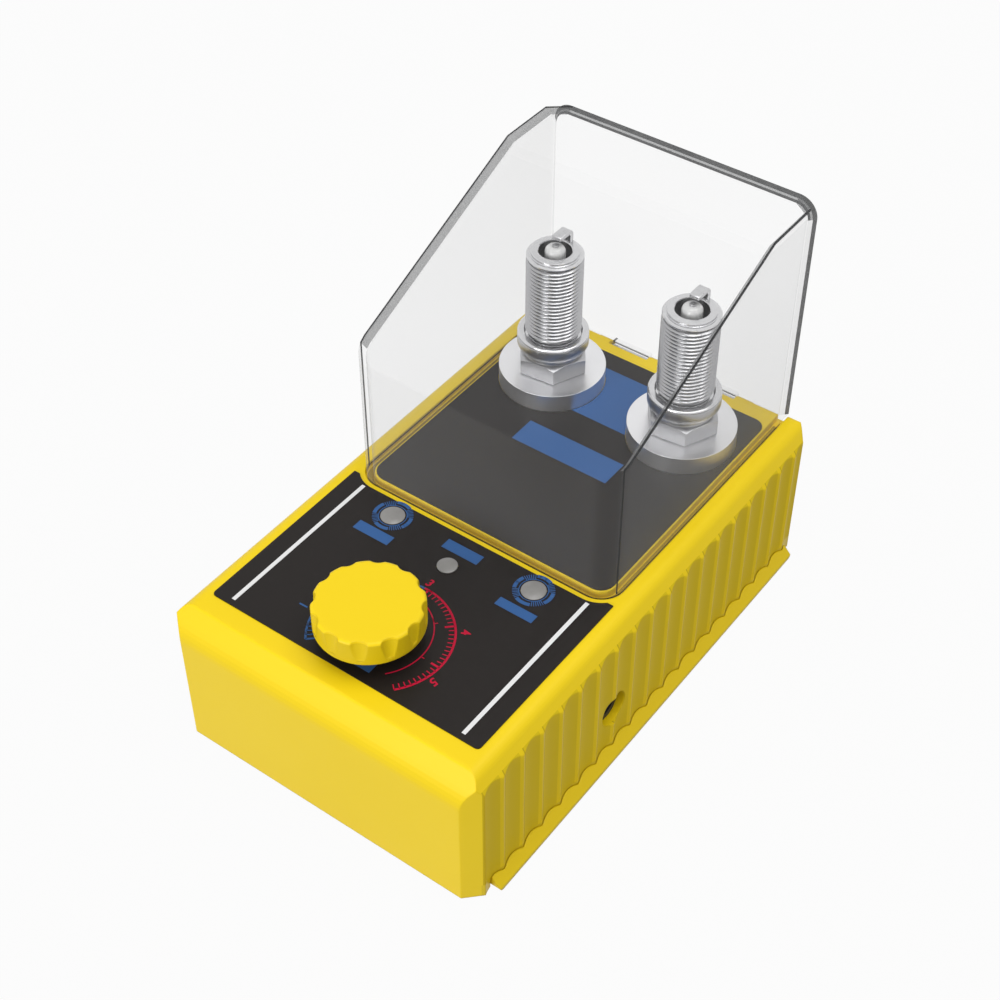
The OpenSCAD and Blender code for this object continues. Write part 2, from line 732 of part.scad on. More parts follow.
module clear_hood() {
    rest_z = deck_h - groove_depth;
    relief_y = hinge_y - barrel_d;
    color("aliceblue", 0.4) lifted() difference() {
        union() {
            difference() {
                hood_form(0);
                hood_form(hood_t);
                translate([-case_w, -case_l, -small]) cube([2 * case_w, 2 * case_l, rest_z + small]);
                translate([-case_w, relief_y, 0]) cube([2 * case_w, case_l, hood_back_bottom]);
            }
            for (x = lug_x) translate([x - lug_l / 2, hinge_y, hinge_z]) {
                rotate([0, 90, 0]) cylinder(d = barrel_d, h = lug_l);
                translate([0, hood_back - hood_t - hinge_y, 0])
                    cube([lug_l, hood_t, hood_back_bottom - hinge_z + 1]);
            }
        }
        hinge_bores(hinge_pin_d + 2 * hinge_fit);
    }
}
module hinge_pins() {
    color("silver") lifted() for (x = lug_x)
        translate([x, hinge_y, hinge_z]) rotate([0, 90, 0])
            cylinder(d = hinge_pin_d, h = lug_l + 2 * lug_gap + 2 * ear_l, center = true);
}

// Sockets for the plugs
module earth_ring(side) {
    color("gainsboro") lifted() translate([side * plug_x, plug_y, 0]) difference() {
        union() {
            translate([0, 0, deck_h]) cylinder(d = ring_d, h = ring_h);
            translate([0, 0, deck_under]) cylinder(d = ring_spigot_d, h = deck_t + small);
        }
        cylinder(d = ring_bore_d, h = case_l);
    }
}
module socket_sleeve(side) {
    color("dimgray") lifted() translate([side * plug_x, plug_y, 0]) difference() {
        union() {
            translate([0, 0, plate_t]) cylinder(d = sleeve_d, h = deck_under - plate_t);
            translate([0, 0, deck_under - sleeve_t]) cylinder(d = sleeve_flange_d, h = sleeve_t);
        }
        translate([0, 0, contact_floor]) cylinder(d = sleeve_bore_d, h = deck_h);
        translate([0, 0, board_top + lead_z]) rotate([90, 0, 0])
            cylinder(d = lead_d + 4 * screw_fit, h = sleeve_d);
    }
}
module contact(side) {
    color("goldenrod") lifted() translate([side * plug_x, plug_y, 0]) difference() {
        translate([0, 0, contact_floor]) cylinder(d = contact_d, h = contact_top - contact_floor);
        translate([0, 0, contact_top - cup_depth]) cylinder(d = terminal_d + 2 * contact_gap, h = deck_h);
        translate([0, lead_grip + screw_fit - contact_d / 2, board_top + lead_z]) rotate([90, 0, 0])
            cylinder(d = lead_d + 2 * screw_fit, h = sleeve_d);
    }
}
module lead(side) {
    start = plug_y - contact_d / 2 + lead_grip;
    color("firebrick") lifted() translate([side * plug_x, start, board_top + lead_z]) rotate([90, 0, 0])
        cylinder(d = lead_d, h = start - coil_back + lead_grip);
}
module coil(side) {
    color("midnightblue") lifted() translate([side * plug_x, coil_back, board_top]) difference() {
        union() {
            translate([-coil_w / 2, -coil_l, 0]) cube([coil_w, coil_l, coil_h - coil_step]);
            translate([coil_edge - coil_w / 2, coil_edge - coil_l, 0])
                cube([coil_w - 2 * coil_edge, coil_l - 2 * coil_edge, coil_h]);
        }
        translate([0, small, lead_z]) rotate([90, 0, 0])
            cylinder(d = lead_d + 2 * screw_fit, h = lead_grip + screw_fit);
    }
}

// Electronics
module board_posts() {
    for (sx = [-1, 1], y = [-post_front, post_back]) translate([sx * post_x, y, 0]) children();
}
module circuit_board() {
    color("darkgreen") lifted() difference() {
        translate([-board_w / 2, -board_front, board_z]) cube([board_w, board_front + board_back, board_t]);
        board_posts() cylinder(d = board_screw_d + 6 * screw_fit, h = deck_h);
    }
}
module board_screws() {
    color("silver") lifted() board_posts() {
        translate([0, 0, board_top]) cylinder(d = board_head_d, h = board_head_h);
        translate([0, 0, plate_t + screw_tip_gap])
            cylinder(d = board_screw_d, h = board_top - plate_t);
    }
}
module capacitors() {
    color("navy") lifted() for (x = [-board_w / 4, board_w / 4])
        translate([x, -board_front / 2, board_top]) {
            cylinder(d = cap_d, h = cap_h - 2 * cap_crimp);
            cylinder(d = cap_d - 2 * cap_crimp, h = cap_h);
        }
}
module driver_chip() {
    pitch = chip_l / chip_pins;
    pin_y = chip_w / 2;
    color("black") lifted() translate([0, 0, board_top]) {
        translate([-chip_l / 2, -chip_w / 2, chip_gap]) cube([chip_l, chip_w, chip_t]);
        for (i = [0:chip_pins - 1], side = [-1, 1])
            translate([(i - (chip_pins - 1) / 2) * pitch, side * pin_y, chip_pin_h / 2])
                cube([chip_pin_w, chip_pin_l, chip_pin_h], center = true);
    }
}
module power_socket() {
    back = inner_x - seam - jack_l;
    color("dimgray") lifted() translate([0, -jack_y, 0]) {
        difference() {
            union() {
                translate([back, -jack_w / 2, board_top]) cube([jack_l, jack_w, 2 * (jack_z - board_top)]);
                translate([back, 0, jack_z]) rotate([0, 90, 0])
                    cylinder(d = jack_hole_d - 2 * jack_gap, h = jack_l + seam + jack_nose);
            }
            translate([back + jack_floor, 0, jack_z]) rotate([0, 90, 0])
                cylinder(d = jack_bore_d, h = jack_l + wall);
        }
        translate([back + jack_floor / 2, 0, jack_z]) rotate([0, 90, 0])
            cylinder(d = jack_pin_d, h = jack_l - jack_floor / 2 - jack_pin_inset);
    }
}

// Lamps
module lens(d) {
    top = film_top + lens_proud;
    color("gray") {
        intersection() {
            translate([0, 0, deck_under]) cylinder(d = d, h = top - deck_under);
            translate([0, 0, top - lens_dome]) sphere(lens_dome);
        }
        translate([0, 0, deck_under - d / 2]) cylinder(d = d, h = d / 2 + small);
        translate([0, 0, deck_under - lens_flange_t]) cylinder(d = d + lens_flange, h = lens_flange_t);
    }
}
module left_signal_lens() {
    lifted() translate([-signal_x, -signal_y, 0]) lens(signal_d);
}
module right_signal_lens() {
    lifted() translate([signal_x, -signal_y, 0]) lens(signal_d);
}
module power_lens() {
    lifted() translate([0, -power_y, 0]) lens(power_d);
}

// Speed control and knob
module speed_control() {
    color("gray") lifted() translate([knob_x, -knob_y, 0]) difference() {
        union() {
            translate([0, 0, deck_under - control_h]) cylinder(d = control_d, h = control_h);
            translate([0, 0, deck_under - small]) cylinder(d = bush_d, h = deck_t + film_t + bush_h + small);
        }
        translate([0, 0, deck_under - control_h + control_floor])
            cylinder(d = shaft_d + 2 * shaft_fit, h = deck_h);
    }
}
module control_nut() {
    color("silver") lifted() translate([knob_x, -knob_y, film_top]) difference() {
        cylinder(d = nut_af / cos(30), h = nut_t, $fn = 6);
        translate([0, 0, -1]) cylinder(d = bush_d + 2 * screw_fit, h = deck_h);
    }
}
module control_shaft() {
    low = deck_under - control_h + control_floor + shaft_end_gap;
    top = knob_base + knob_h - knob_roof - shaft_end_gap;
    color("silver") lifted() translate([knob_x, -knob_y, low]) cylinder(d = shaft_d, h = top - low);
}
module speed_knob() {
    r = knob_d / 2;
    lean = atan((scallop_depth - scallop_foot) / (knob_h - knob_skirt));
    color("gold") lifted() translate([knob_x, -knob_y, knob_base]) difference() {
        union() {
            // Grip, whose scallops grow shallow towards the plain rim
            difference() {
                rotate_extrude() {
                    translate([0, knob_skirt]) square([r, knob_h - knob_top_r - knob_skirt]);
                    translate([0, knob_skirt]) square([r - knob_top_r, knob_h - knob_skirt]);
                    translate([r - knob_top_r, knob_h - knob_top_r]) circle(knob_top_r);
                }
                for (i = [0:scallops - 1]) rotate([0, 0, i * 360 / scallops])
                    translate([r - scallop_depth + scallop_d / 2, 0, knob_h]) rotate([0, -lean, 0])
                        translate([0, 0, -2 * knob_h]) cylinder(d = scallop_d, h = 3 * knob_h);
            }
            rotate_extrude() {
                square([r - knob_rim_r, knob_skirt]);
                translate([0, knob_rim_r]) square([r, knob_skirt - knob_rim_r]);
                translate([r - knob_rim_r, knob_rim_r]) circle(knob_rim_r);
            }
        }
        translate([0, 0, -1]) difference() {
            cylinder(r = r - knob_wall, h = knob_hollow + 1);
            cylinder(d = knob_hub_d, h = knob_hollow + 2);
        }
        translate([0, 0, -1]) cylinder(d = shaft_d + 2 * knob_fit, h = knob_h - knob_roof + 1);
    }
}

// Spark plugs, which stand on their hexagons with the sparking end up
module at_plug(side) {
    lifted() translate([side * plug_x, plug_y, ring_top]) children();
}
module plug_shell(side) {
    collar_z = hex_h + neck_h;
    thread_z = collar_z + collar_h;
    chamfer_d = hex_af - 2 * hex_chamfer;
    color("silver") at_plug(side) {
        difference() {
            union() {
                intersection() {
                    rotate([0, 0, hex_turn]) cylinder(d = hex_af / cos(30), h = hex_h, $fn = 6);
                    cylinder(d1 = chamfer_d + 2 * hex_h * tan(hex_chamfer_angle), d2 = chamfer_d, h = hex_h);
                }
                cylinder(d = neck_d, h = collar_z + small);
                translate([0, 0, collar_z]) cylinder(d = collar_d, h = collar_h);
                translate([0, 0, thread_z - small])
                    cylinder(d = thread_d, h = reach - rim_h - tip_chamfer + small);
                translate([0, 0, plug_tip - rim_h - tip_chamfer])
                    cylinder(d1 = thread_d, d2 = thread_d - 2 * tip_chamfer, h = tip_chamfer);
                cylinder(d = rim_d, h = plug_tip);
            }
            translate([0, 0, -1]) cylinder(d = insulator_d + 2 * plug_fit, h = collar_z + 1);
            cylinder(d = nose_bore_d, h = plug_tip + 1);
        }
        earth_strap();
    }
}
// The strap rises from the rim and bends over the centre electrode
module earth_strap() {
    outer = (rim_d + nose_bore_d) / 4 + strap_t / 2;
    inner = outer - strap_t;
    top = strap_low + strap_t;
    base = plug_tip - small;
    rotate([0, 0, strap_turn]) rotate([90, 0, 0]) linear_extrude(strap_w, center = true)
        polygon(rounded([[outer, base], [outer, top], [-strap_over, top], [-strap_over, strap_low],
                         [inner, strap_low], [inner, base]],
                        [0, strap_bend_r, 0, 0, strap_inner_r, 0]));
}
module plug_gasket(side) {
    color("silver") at_plug(side) translate([0, 0, hex_h + neck_h + collar_h]) difference() {
        cylinder(d = collar_d, h = gasket_t);
        translate([0, 0, -1]) cylinder(d = thread_d + 2 * plug_fit, h = gasket_t + 2);
    }
}
module plug_insulator(side) {
    seat_z = hex_h + neck_h;
    tip = plug_tip + nose_proud;
    r = insulator_d / 2;
    low_r = r - insulator_step;
    rib = insulator_l / (insulator_ribs + 2);
    color("white") at_plug(side) difference() {
        rotate_extrude() polygon(rounded(
            [[0, -insulator_l], [low_r, -insulator_l], [low_r, 0], [r, insulator_step], [r, seat_z],
             [nose_d / 2, seat_z], [nose_d / 2, tip], [0, tip]],
            [0, insulator_end_r, 0, 0, 0, 0, nose_r, 0]));
        for (i = [1:insulator_ribs]) translate([0, 0, -insulator_l + rib * (i + 0.5)])
            rotate_extrude() translate([low_r + groove_r / 2, 0]) circle(groove_r);
        translate([0, 0, -insulator_l - 1])
            cylinder(d = electrode_d + 2 * plug_fit, h = insulator_l + tip + 2);
    }
}
module plug_electrode(side) {
    low = insulator_l + terminal_l / 2;
    color("silver") at_plug(side) translate([0, 0, -low])
        cylinder(d = electrode_d, h = low + plug_tip + nose_proud + electrode_proud);
}
module plug_terminal(side) {
    color("silver") at_plug(side) translate([0, 0, -plug_low]) difference() {
        rotate_extrude()
            polygon(rounded([[0, 0], [terminal_d / 2, 0], [terminal_d / 2, terminal_l], [0, terminal_l]],
                            [0, terminal_r, terminal_r / 2, 0]));
        translate([0, 0, terminal_l / 2 - plug_fit]) cylinder(d = electrode_d + 2 * plug_fit, h = terminal_l);
    }
}

upper_case();
bottom_cover();
case_screws();
rubber_feet();
front_label();
rear_label();
clear_hood();
hinge_pins();
earth_ring(-1);  // left_earth_ring
earth_ring(1);  // right_earth_ring
socket_sleeve(-1);  // left_socket_sleeve
socket_sleeve(1);  // right_socket_sleeve
contact(-1);  // left_contact
contact(1);  // right_contact
lead(-1);  // left_lead
lead(1);  // right_lead
coil(-1);  // left_coil
coil(1);  // right_coil
circuit_board();
board_screws();
capacitors();
driver_chip();
power_socket();
left_signal_lens();
right_signal_lens();
power_lens();
speed_control();
control_nut();
control_shaft();
speed_knob();
plug_shell(-1);  // left_plug_shell
plug_gasket(-1);  // left_plug_gasket
plug_insulator(-1);  // left_plug_insulator
plug_electrode(-1);  // left_plug_electrode
plug_terminal(-1);  // left_plug_terminal
plug_shell(1);  // right_plug_shell
plug_gasket(1);  // right_plug_gasket
plug_insulator(1);  // right_plug_insulator
plug_electrode(1);  // right_plug_electrode
plug_terminal(1);  // right_plug_terminal
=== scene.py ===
"""Bench tester for two spark plugs: yellow fluted case, clear hinged hood, threaded plugs, printed deck."""
import json
import math

import bmesh
import bpy
from mathutils import Matrix, Vector


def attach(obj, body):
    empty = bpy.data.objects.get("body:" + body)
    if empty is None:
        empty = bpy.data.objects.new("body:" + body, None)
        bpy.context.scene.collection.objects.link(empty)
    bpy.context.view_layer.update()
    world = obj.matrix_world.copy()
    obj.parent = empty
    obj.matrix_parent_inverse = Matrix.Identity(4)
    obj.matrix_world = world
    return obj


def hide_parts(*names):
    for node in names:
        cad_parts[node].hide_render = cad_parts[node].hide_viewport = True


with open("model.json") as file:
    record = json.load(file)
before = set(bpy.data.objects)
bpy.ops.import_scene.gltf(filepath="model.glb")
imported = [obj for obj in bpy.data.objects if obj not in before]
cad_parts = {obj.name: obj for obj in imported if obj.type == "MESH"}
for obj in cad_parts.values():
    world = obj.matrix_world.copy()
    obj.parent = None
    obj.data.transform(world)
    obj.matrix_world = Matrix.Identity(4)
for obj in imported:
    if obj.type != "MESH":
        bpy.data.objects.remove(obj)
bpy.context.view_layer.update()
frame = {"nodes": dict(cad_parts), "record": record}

# Sizes that several pieces share, in the part's millimetres
MM = 0.001
RING_X, RING_Y, RING_R, RING_TOP = 19.1, 46.1, 13.55, 46.0
FLUTE_PITCH, FLUTE_SHIFT, FLUTE_END, FLUTE_X = 7.1, 1.15, 67.4, 42.2
PLINTH_TOP = 4.85
KNOB_LOW, KNOB_EDGE = 45.0, 51.9
HOOD_X, HOOD_FRONT, HOOD_BACK, HOOD_WALL = 36.0, -10.8, 69.3, 1.6
HOOD_LOW, HOOD_BACK_LOW, HOOD_RELIEF = 39.2, 40.8, 64.9
HOOD_STEP, HOOD_TOP, HOOD_KINK, HOOD_ZONE = 77.0, 103.8, 49.8, 65.3
HOOD_R, HOOD_BACK_R = 6.0, 5.0
RISE = (HOOD_TOP - HOOD_STEP) / (HOOD_KINK - HOOD_FRONT)
SLANT = math.sqrt(1 + RISE * RISE)
# Heights on a plug, above the ring that it stands on
COLLAR_TOP, THREAD_LOW, THREAD_HIGH = 9.9, 10.7, 33.0


# Shader wiring
class Wire:
    """One output of a shader node, which takes part in sums."""

    def __init__(self, bench, socket):
        self.bench = bench
        self.socket = socket

    def sum(self, operation, first, second=0.0):
        return self.bench.add("ShaderNodeMath", {"operation": operation}, {0: first, 1: second})

    def __add__(self, other):
        return self.sum("ADD", self, other)

    def __sub__(self, other):
        return self.sum("SUBTRACT", self, other)

    def __rsub__(self, other):
        return self.sum("SUBTRACT", other, self)

    def __mul__(self, other):
        return self.sum("MULTIPLY", self, other)

    def __pow__(self, other):
        return self.sum("POWER", self, other)

    def __gt__(self, other):
        return self.sum("GREATER_THAN", self, other)

    def __lt__(self, other):
        return self.sum("LESS_THAN", self, other)

    def __abs__(self):
        return self.sum("ABSOLUTE", self)

    __radd__ = __add__
    __rmul__ = __mul__


# Places of the Mix node's colour sockets, which share their names with its other sockets
MIX_FIRST, MIX_SECOND, MIX_RESULT = 6, 7, 2
BEVEL_SAMPLES = 6


class Bench:
    """A material, or the world, with one method that adds any node."""

    def __init__(self, name, owner=None):
        self.owner = owner or bpy.data.materials.new(name)
        self.owner.use_nodes = True
        self.tree = self.owner.node_tree
        self.tree.nodes.clear()

    def add(self, kind, settings=None, sockets=None, out=0):
        node = self.tree.nodes.new(kind)
        for name, value in (settings or {}).items():
            setattr(node, name, value)
        for name, value in (sockets or {}).items():
            socket = node.inputs[name]
            if isinstance(value, Wire):
                self.tree.links.new(value.socket, socket)
            else:
                socket.default_value = value
        return Wire(self, node.outputs[out]) if node.outputs else node

    def mix(self, share, first, second):
        """Two colours, each a tuple or a wire, mixed by a share."""
        colours = [(*c, 1) if isinstance(c, tuple) else c for c in (first, second)]
        sockets = {0: share, MIX_FIRST: colours[0], MIX_SECOND: colours[1]}
        return self.add("ShaderNodeMix", {"data_type": "RGBA"}, sockets, out=MIX_RESULT)

    def place(self):
        """Position on the piece in millimetres, which goes with the piece when it moves."""
        here = self.add("ShaderNodeTexCoord", out="Object")
        return self.add("ShaderNodeVectorMath", {"operation": "SCALE"}, {0: here, "Scale": 1 / MM})

    def axes(self, vector):
        return [self.add("ShaderNodeSeparateXYZ", sockets={0: vector}, out=k) for k in range(3)]

    def noise(self, where, scale, detail, rough=0.5):
        sockets = {"Vector": where, "Scale": scale, "Detail": detail, "Roughness": rough}
        return self.add("ShaderNodeTexNoise", sockets=sockets)

    def bump(self, height, depth, strength, normal=None):
        sockets = {"Strength": strength, "Distance": depth * MM, "Height": height}
        if normal:
            sockets["Normal"] = normal
        return self.add("ShaderNodeBump", sockets=sockets)

    def soft_edges(self, radius):
        return self.add("ShaderNodeBevel", {"samples": BEVEL_SAMPLES}, {"Radius": radius * MM})

    def solid(self, **sockets):
        """A principled surface, where Shine is short for its specular level."""
        named = {name.replace("_", " "): value for name, value in sockets.items()}
        if "Shine" in named:
            named["Specular IOR Level"] = named.pop("Shine")
        return self.add("ShaderNodeBsdfPrincipled", sockets=named)

    def veil(self, share, surface):
        """A surface that covers a share of what lies behind it."""
        through = self.add("ShaderNodeBsdfTransparent")
        return self.add("ShaderNodeMixShader", sockets={0: share, 1: through, 2: surface})

    def close(self, surface):
        self.add("ShaderNodeOutputMaterial", sockets={"Surface": surface})
        return self.owner


def from_plug_axis(x, y):
    """Distance from the axis of the plug on the same side."""
    return ((abs(x) - RING_X) ** 2.0 + (y - RING_Y) ** 2.0) ** 0.5


def scaled(colour, share):
    return tuple(c * share for c in colour)


# Plastics
BLOTCH_SCALE, GRAIN_SCALE, GRAIN_STRENGTH, PLASTIC_SHINE = 0.05, 2.6, 0.35, 0.25


def moulding_noise(b, where):
    """Slow blotches and a fine spark-eroded grain."""
    return b.noise(where, BLOTCH_SCALE, 3), b.noise(where, GRAIN_SCALE, 3, 0.6)


def moulded(name, colour, shade, rough, grain, edge):
    """Moulded plastic with its grain and softened edges."""
    b = Bench(name)
    blotch, fine = moulding_noise(b, b.place())
    return b.close(b.solid(
        Base_Color=b.mix(blotch, colour, shade),
        Roughness=rough + 0.12 * (fine - 0.5) + 0.05 * blotch,
        Shine=PLASTIC_SHINE,
        Normal=b.bump(fine, grain, GRAIN_STRENGTH, b.soft_edges(edge))))


# Yellows of the case, with painted shade on its plinth, its knob's wall and its flute floors and a darker
# painted shade line in each flute's corner, and where ridge, shaded corner and floor end across one flute
YELLOW, YELLOW_BLOTCH, PAINTED_WALL_SHADE = (0.95, 0.69, 0.008), (0.92, 0.66, 0.006), (0.80, 0.58, 0.007)
PAINTED_FLUTE_SHADE, PAINTED_CORNER_SHADE = (0.81, 0.585, 0.005), (0.63, 0.44, 0.004)
RIDGE_END, CORNER_END, FLOOR_END = 0.035, 0.085, 0.86
CASE_ROUGH, FLUTE_ROUGH, CASE_GRAIN, CASE_EDGE = 0.36, 0.25, 0.012, 0.55


def fluted_yellow():
    """Yellow case plastic: ridges in the full yellow, and painted shade on the flutes, the plinth and the
    knob's wall.
    """
    b = Bench("moulded_yellow")
    where = b.place()
    x, y, z = b.axes(where)
    blotch, fine = moulding_noise(b, where)
    outside = abs(x) > FLUTE_X
    phase = y.sum("FRACT", (y - FLUTE_SHIFT) * (1 / FLUTE_PITCH) + 0.5)
    side = outside * (z > PLINTH_TOP) * (abs(y - FLUTE_SHIFT) < FLUTE_END) * (phase > RIDGE_END)
    # Painted shade: the plinth below the flutes and the knob's wall take a darker yellow
    wall = outside * (z < PLINTH_TOP) + (z > KNOB_LOW) * (z < KNOB_EDGE)
    base_with_wall_shade = b.mix(wall, b.mix(blotch, YELLOW, YELLOW_BLOTCH), PAINTED_WALL_SHADE)
    # Painted shade: the floor of each flute is darker than its ridge
    flute = b.mix(side * (phase < FLOOR_END), base_with_wall_shade, PAINTED_FLUTE_SHADE)
    return b.close(b.solid(
        # Painted shade: a darker line in the corner just beside each ridge
        Base_Color=b.mix(side * (phase < CORNER_END), flute, PAINTED_CORNER_SHADE),
        Roughness=CASE_ROUGH + 0.12 * (fine - 0.5) + 0.05 * blotch + FLUTE_ROUGH * side,
        Shine=PLASTIC_SHINE,
        Normal=b.bump(fine, CASE_GRAIN, GRAIN_STRENGTH, b.soft_edges(CASE_EDGE))))


# Haze of the clear sheet: everywhere, at a slant, in smears, and the share that the level top lacks, a
# painted highlight that leaves the top whiter
HAZE, SLANT_HAZE, SMEAR_HAZE, TOP_CLEARED = 0.022, 0.42, 0.006, 0.85
SHEET_GREY, SHEET_PALE = (0.57, 0.575, 0.58), (0.63, 0.635, 0.64)
TOP_BAND = 0.2


def clear_sheet():
    """Clear hood plastic: a faint grey haze, fuller where the sheet is seen at a slant, and thinner on the
    level top as a painted highlight.
    """
    b = Bench("clear_hood_plastic")
    where = b.place()
    smear = b.noise(where, 0.06, 4, 0.6)
    slant = b.add("ShaderNodeLayerWeight", sockets={"Blend": 0.5}, out="Facing")
    level = b.axes(where)[2] > HOOD_TOP - HOOD_WALL - TOP_BAND
    # The level top keeps little of the haze: a painted highlight for the top lamp's reflection
    haze = (HAZE + SLANT_HAZE * slant ** 3.0 + SMEAR_HAZE * (smear - 0.5)) * (1.0 - TOP_CLEARED * level)
    grey = b.solid(Base_Color=b.mix(smear, SHEET_GREY, SHEET_PALE), Roughness=0.2 + 0.1 * smear, Shine=0.05)
    return b.close(b.veil(haze, grey))


def painted_sheet_edge(name, colour, cover):
    """Painted light on an edge of the clear sheet: a tinted veil, dark for painted shade and pale for a
    painted highlight, where the light is caught in the corner.
    """
    b = Bench(name)
    smear = b.noise(b.place(), 0.25, 3)
    tone = b.mix(smear, scaled(colour, 0.8), scaled(colour, 1.2))
    grey = b.solid(Base_Color=tone, Roughness=0.25 + 0.1 * smear, Shine=0.15)
    return b.close(b.veil(cover + 0.1 * (smear - 0.5), grey))


def lamp_lens():
    """Smoked plastic of a lamp that is off."""
    b = Bench("smoked_lamp_lens")
    cloud = b.noise(b.place(), 0.6, 3)
    tone = b.mix(cloud, (0.22, 0.215, 0.205), (0.27, 0.262, 0.25))
    return b.close(b.solid(Base_Color=tone, Roughness=0.2 + 0.08 * cloud, Coat_Weight=0.3))


# Metals
RING_LIP, RING_STRETCH = 0.35, 3.0


def turned(name, colour, rough, lines, edge):
    """Turned metal: faint rings round its axis, and a duller wall."""
    b = Bench(name)
    where = b.place()
    x, y, z = b.axes(where)
    spread = {0: from_plug_axis(x, y) * RING_STRETCH, 1: z * RING_STRETCH, 2: 0.0}
    rings = b.noise(b.add("ShaderNodeCombineXYZ", sockets=spread), lines, 4, 0.7)
    haze = b.noise(where, 0.12, 3)
    wall = z < RING_TOP - RING_LIP
    return b.close(b.solid(
        Base_Color=b.mix(haze, scaled(colour, 0.86), colour),
        Roughness=rough + 0.1 * (rings - 0.5) + 0.05 * haze + 0.08 * wall,
        Metallic=1.0,
        Normal=b.bump(rings, 0.004, 0.25, b.soft_edges(edge))))


def plated(name, colour, rough):
    """Plated steel with a faint clouding."""
    b = Bench(name)
    where = b.place()
    cloud = b.noise(where, 0.35, 4, 0.6)
    fine = b.noise(where, 6.0, 2)
    return b.close(b.solid(
        Base_Color=b.mix(cloud, scaled(colour, 0.8), colour),
        Roughness=rough + 0.1 * (fine - 0.5) + 0.1 * cloud,
        Metallic=1.0,
        Normal=b.soft_edges(0.12)))


GROOVE_R = 6.58
STEEL, STEEL_CLOUD = (0.6, 0.6, 0.61), (0.66, 0.66, 0.67)
STEEL_SHADE, STEEL_GROOVE_SHADE = (0.42, 0.42, 0.43), (0.19, 0.19, 0.195)


def threaded_steel():
    """Plated steel of a plug: rougher on thread, collar and hexagon with painted shade on them, and a darker
    painted shade in the thread's grooves.
    """
    b = Bench("threaded_plug_steel")
    where = b.place()
    x, y, z = b.axes(where)
    screw = (z > RING_TOP + THREAD_LOW) * (z < RING_TOP + THREAD_HIGH)
    groove = (from_plug_axis(x, y) < GROOVE_R) * screw
    lower = z < RING_TOP + COLLAR_TOP
    cloud = b.noise(where, 0.35, 3, 0.5)
    # Painted shade: thread, collar and hexagon take a darker steel
    lower_shaded = b.mix(screw + lower, b.mix(cloud, STEEL, STEEL_CLOUD), STEEL_SHADE)
    return b.close(b.solid(
        # Painted shade: darker still in the thread's grooves
        Base_Color=b.mix(groove, lower_shaded, STEEL_GROOVE_SHADE),
        Roughness=0.15 + 0.05 * cloud + 0.08 * screw + 0.15 * lower + 0.15 * groove,
        Metallic=1.0))


# Ink and ceramic
def printed(name, colour, shade):
    """Ink on a film: nearly flat, with a little mottle."""
    b = Bench(name)
    where = b.place()
    mottle = b.noise(where, 0.8, 4, 0.65)
    fine = b.noise(where, 9.0, 2)
    return b.close(b.solid(
        Base_Color=b.mix(mottle, colour, shade),
        Roughness=0.42 + 0.1 * (fine - 0.5),
        Shine=0.18,
        Normal=b.bump(fine, 0.004, 0.2)))


def ceramic():
    """Glazed white insulator."""
    b = Bench("white_glazed_ceramic")
    speck = b.noise(b.place(), 1.5, 4, 0.7)
    tone = b.mix(speck, (0.6, 0.6, 0.595), (0.68, 0.68, 0.675))
    return b.close(b.solid(Base_Color=tone, Roughness=0.22 + 0.1 * speck, Coat_Weight=0.4))


finish = {
    "case_yellow": fluted_yellow(),
    "film_black": printed("dark_deck_film", (0.0115, 0.0090, 0.0080), (0.0145, 0.0115, 0.0102)),
    "clear_acrylic": clear_sheet(),
    "polished_steel": turned("turned_ring_metal", (0.86, 0.86, 0.875), 0.28, 3.0, 0.15),
    "plated_steel": plated("plated_plug_steel", (0.62, 0.62, 0.63), 0.24),
    "zinc_screw": plated("zinc_screw_steel", (0.62, 0.62, 0.64), 0.34),
    "white_ceramic": ceramic(),
    "black_plastic": moulded("black_moulding", (0.018, 0.018, 0.019), (0.026, 0.026, 0.027), 0.42, 0.01, 0.2),
    "rubber": moulded("foot_rubber", (0.02, 0.02, 0.021), (0.032, 0.031, 0.03), 0.72, 0.03, 0.3),
    "lamp_grey": lamp_lens(),
    "brass": plated("contact_brass", (0.72, 0.52, 0.2), 0.28),
    "lead_red": moulded("lead_silicone", (0.42, 0.03, 0.025), (0.36, 0.02, 0.02), 0.5, 0.01, 0.1),
    "potting_blue": moulded("coil_potting", (0.03, 0.045, 0.16), (0.022, 0.03, 0.12), 0.35, 0.02, 0.3),
    "board_green": moulded("board_mask", (0.02, 0.16, 0.055), (0.015, 0.12, 0.04), 0.35, 0.006, 0.1),
}
plug_steel = threaded_steel()
# Painted light and shade on the hood's edges: grey and dark painted shade, dark painted lines at the back, a
# pale painted highlight, and a tan painted shade over the groove
edge_grey = painted_sheet_edge("hood_edge_grey", (0.15, 0.152, 0.155), 0.66)
edge_dark = painted_sheet_edge("hood_edge_dark", (0.03, 0.031, 0.033), 0.8)
edge_rear = painted_sheet_edge("hood_edge_rear", (0.035, 0.036, 0.037), 0.9)
edge_pale = painted_sheet_edge("hood_edge_pale", (0.3, 0.302, 0.305), 0.13)
edge_tan = painted_sheet_edge("hood_edge_tan", (0.42, 0.31, 0.06), 0.55)
ink = {
    "blue": printed("blue_ink", (0.039, 0.120, 0.321), (0.0345, 0.1065, 0.285)),
    "red": printed("red_ink", (0.57, 0.006, 0.042), (0.49, 0.004, 0.034)),
    "white": printed("white_ink", (0.84, 0.84, 0.84), (0.78, 0.78, 0.78)),
}
slot_of = {part["node"]: part["material_slot"] for part in frame["record"]["subparts"]}
for node, body_piece in frame["nodes"].items():
    body_piece.data.materials.clear()
    body_piece.data.materials.append(finish[slot_of[node]])

# Mesh helpers
WELD = 1e-7
SHARP = 35.0


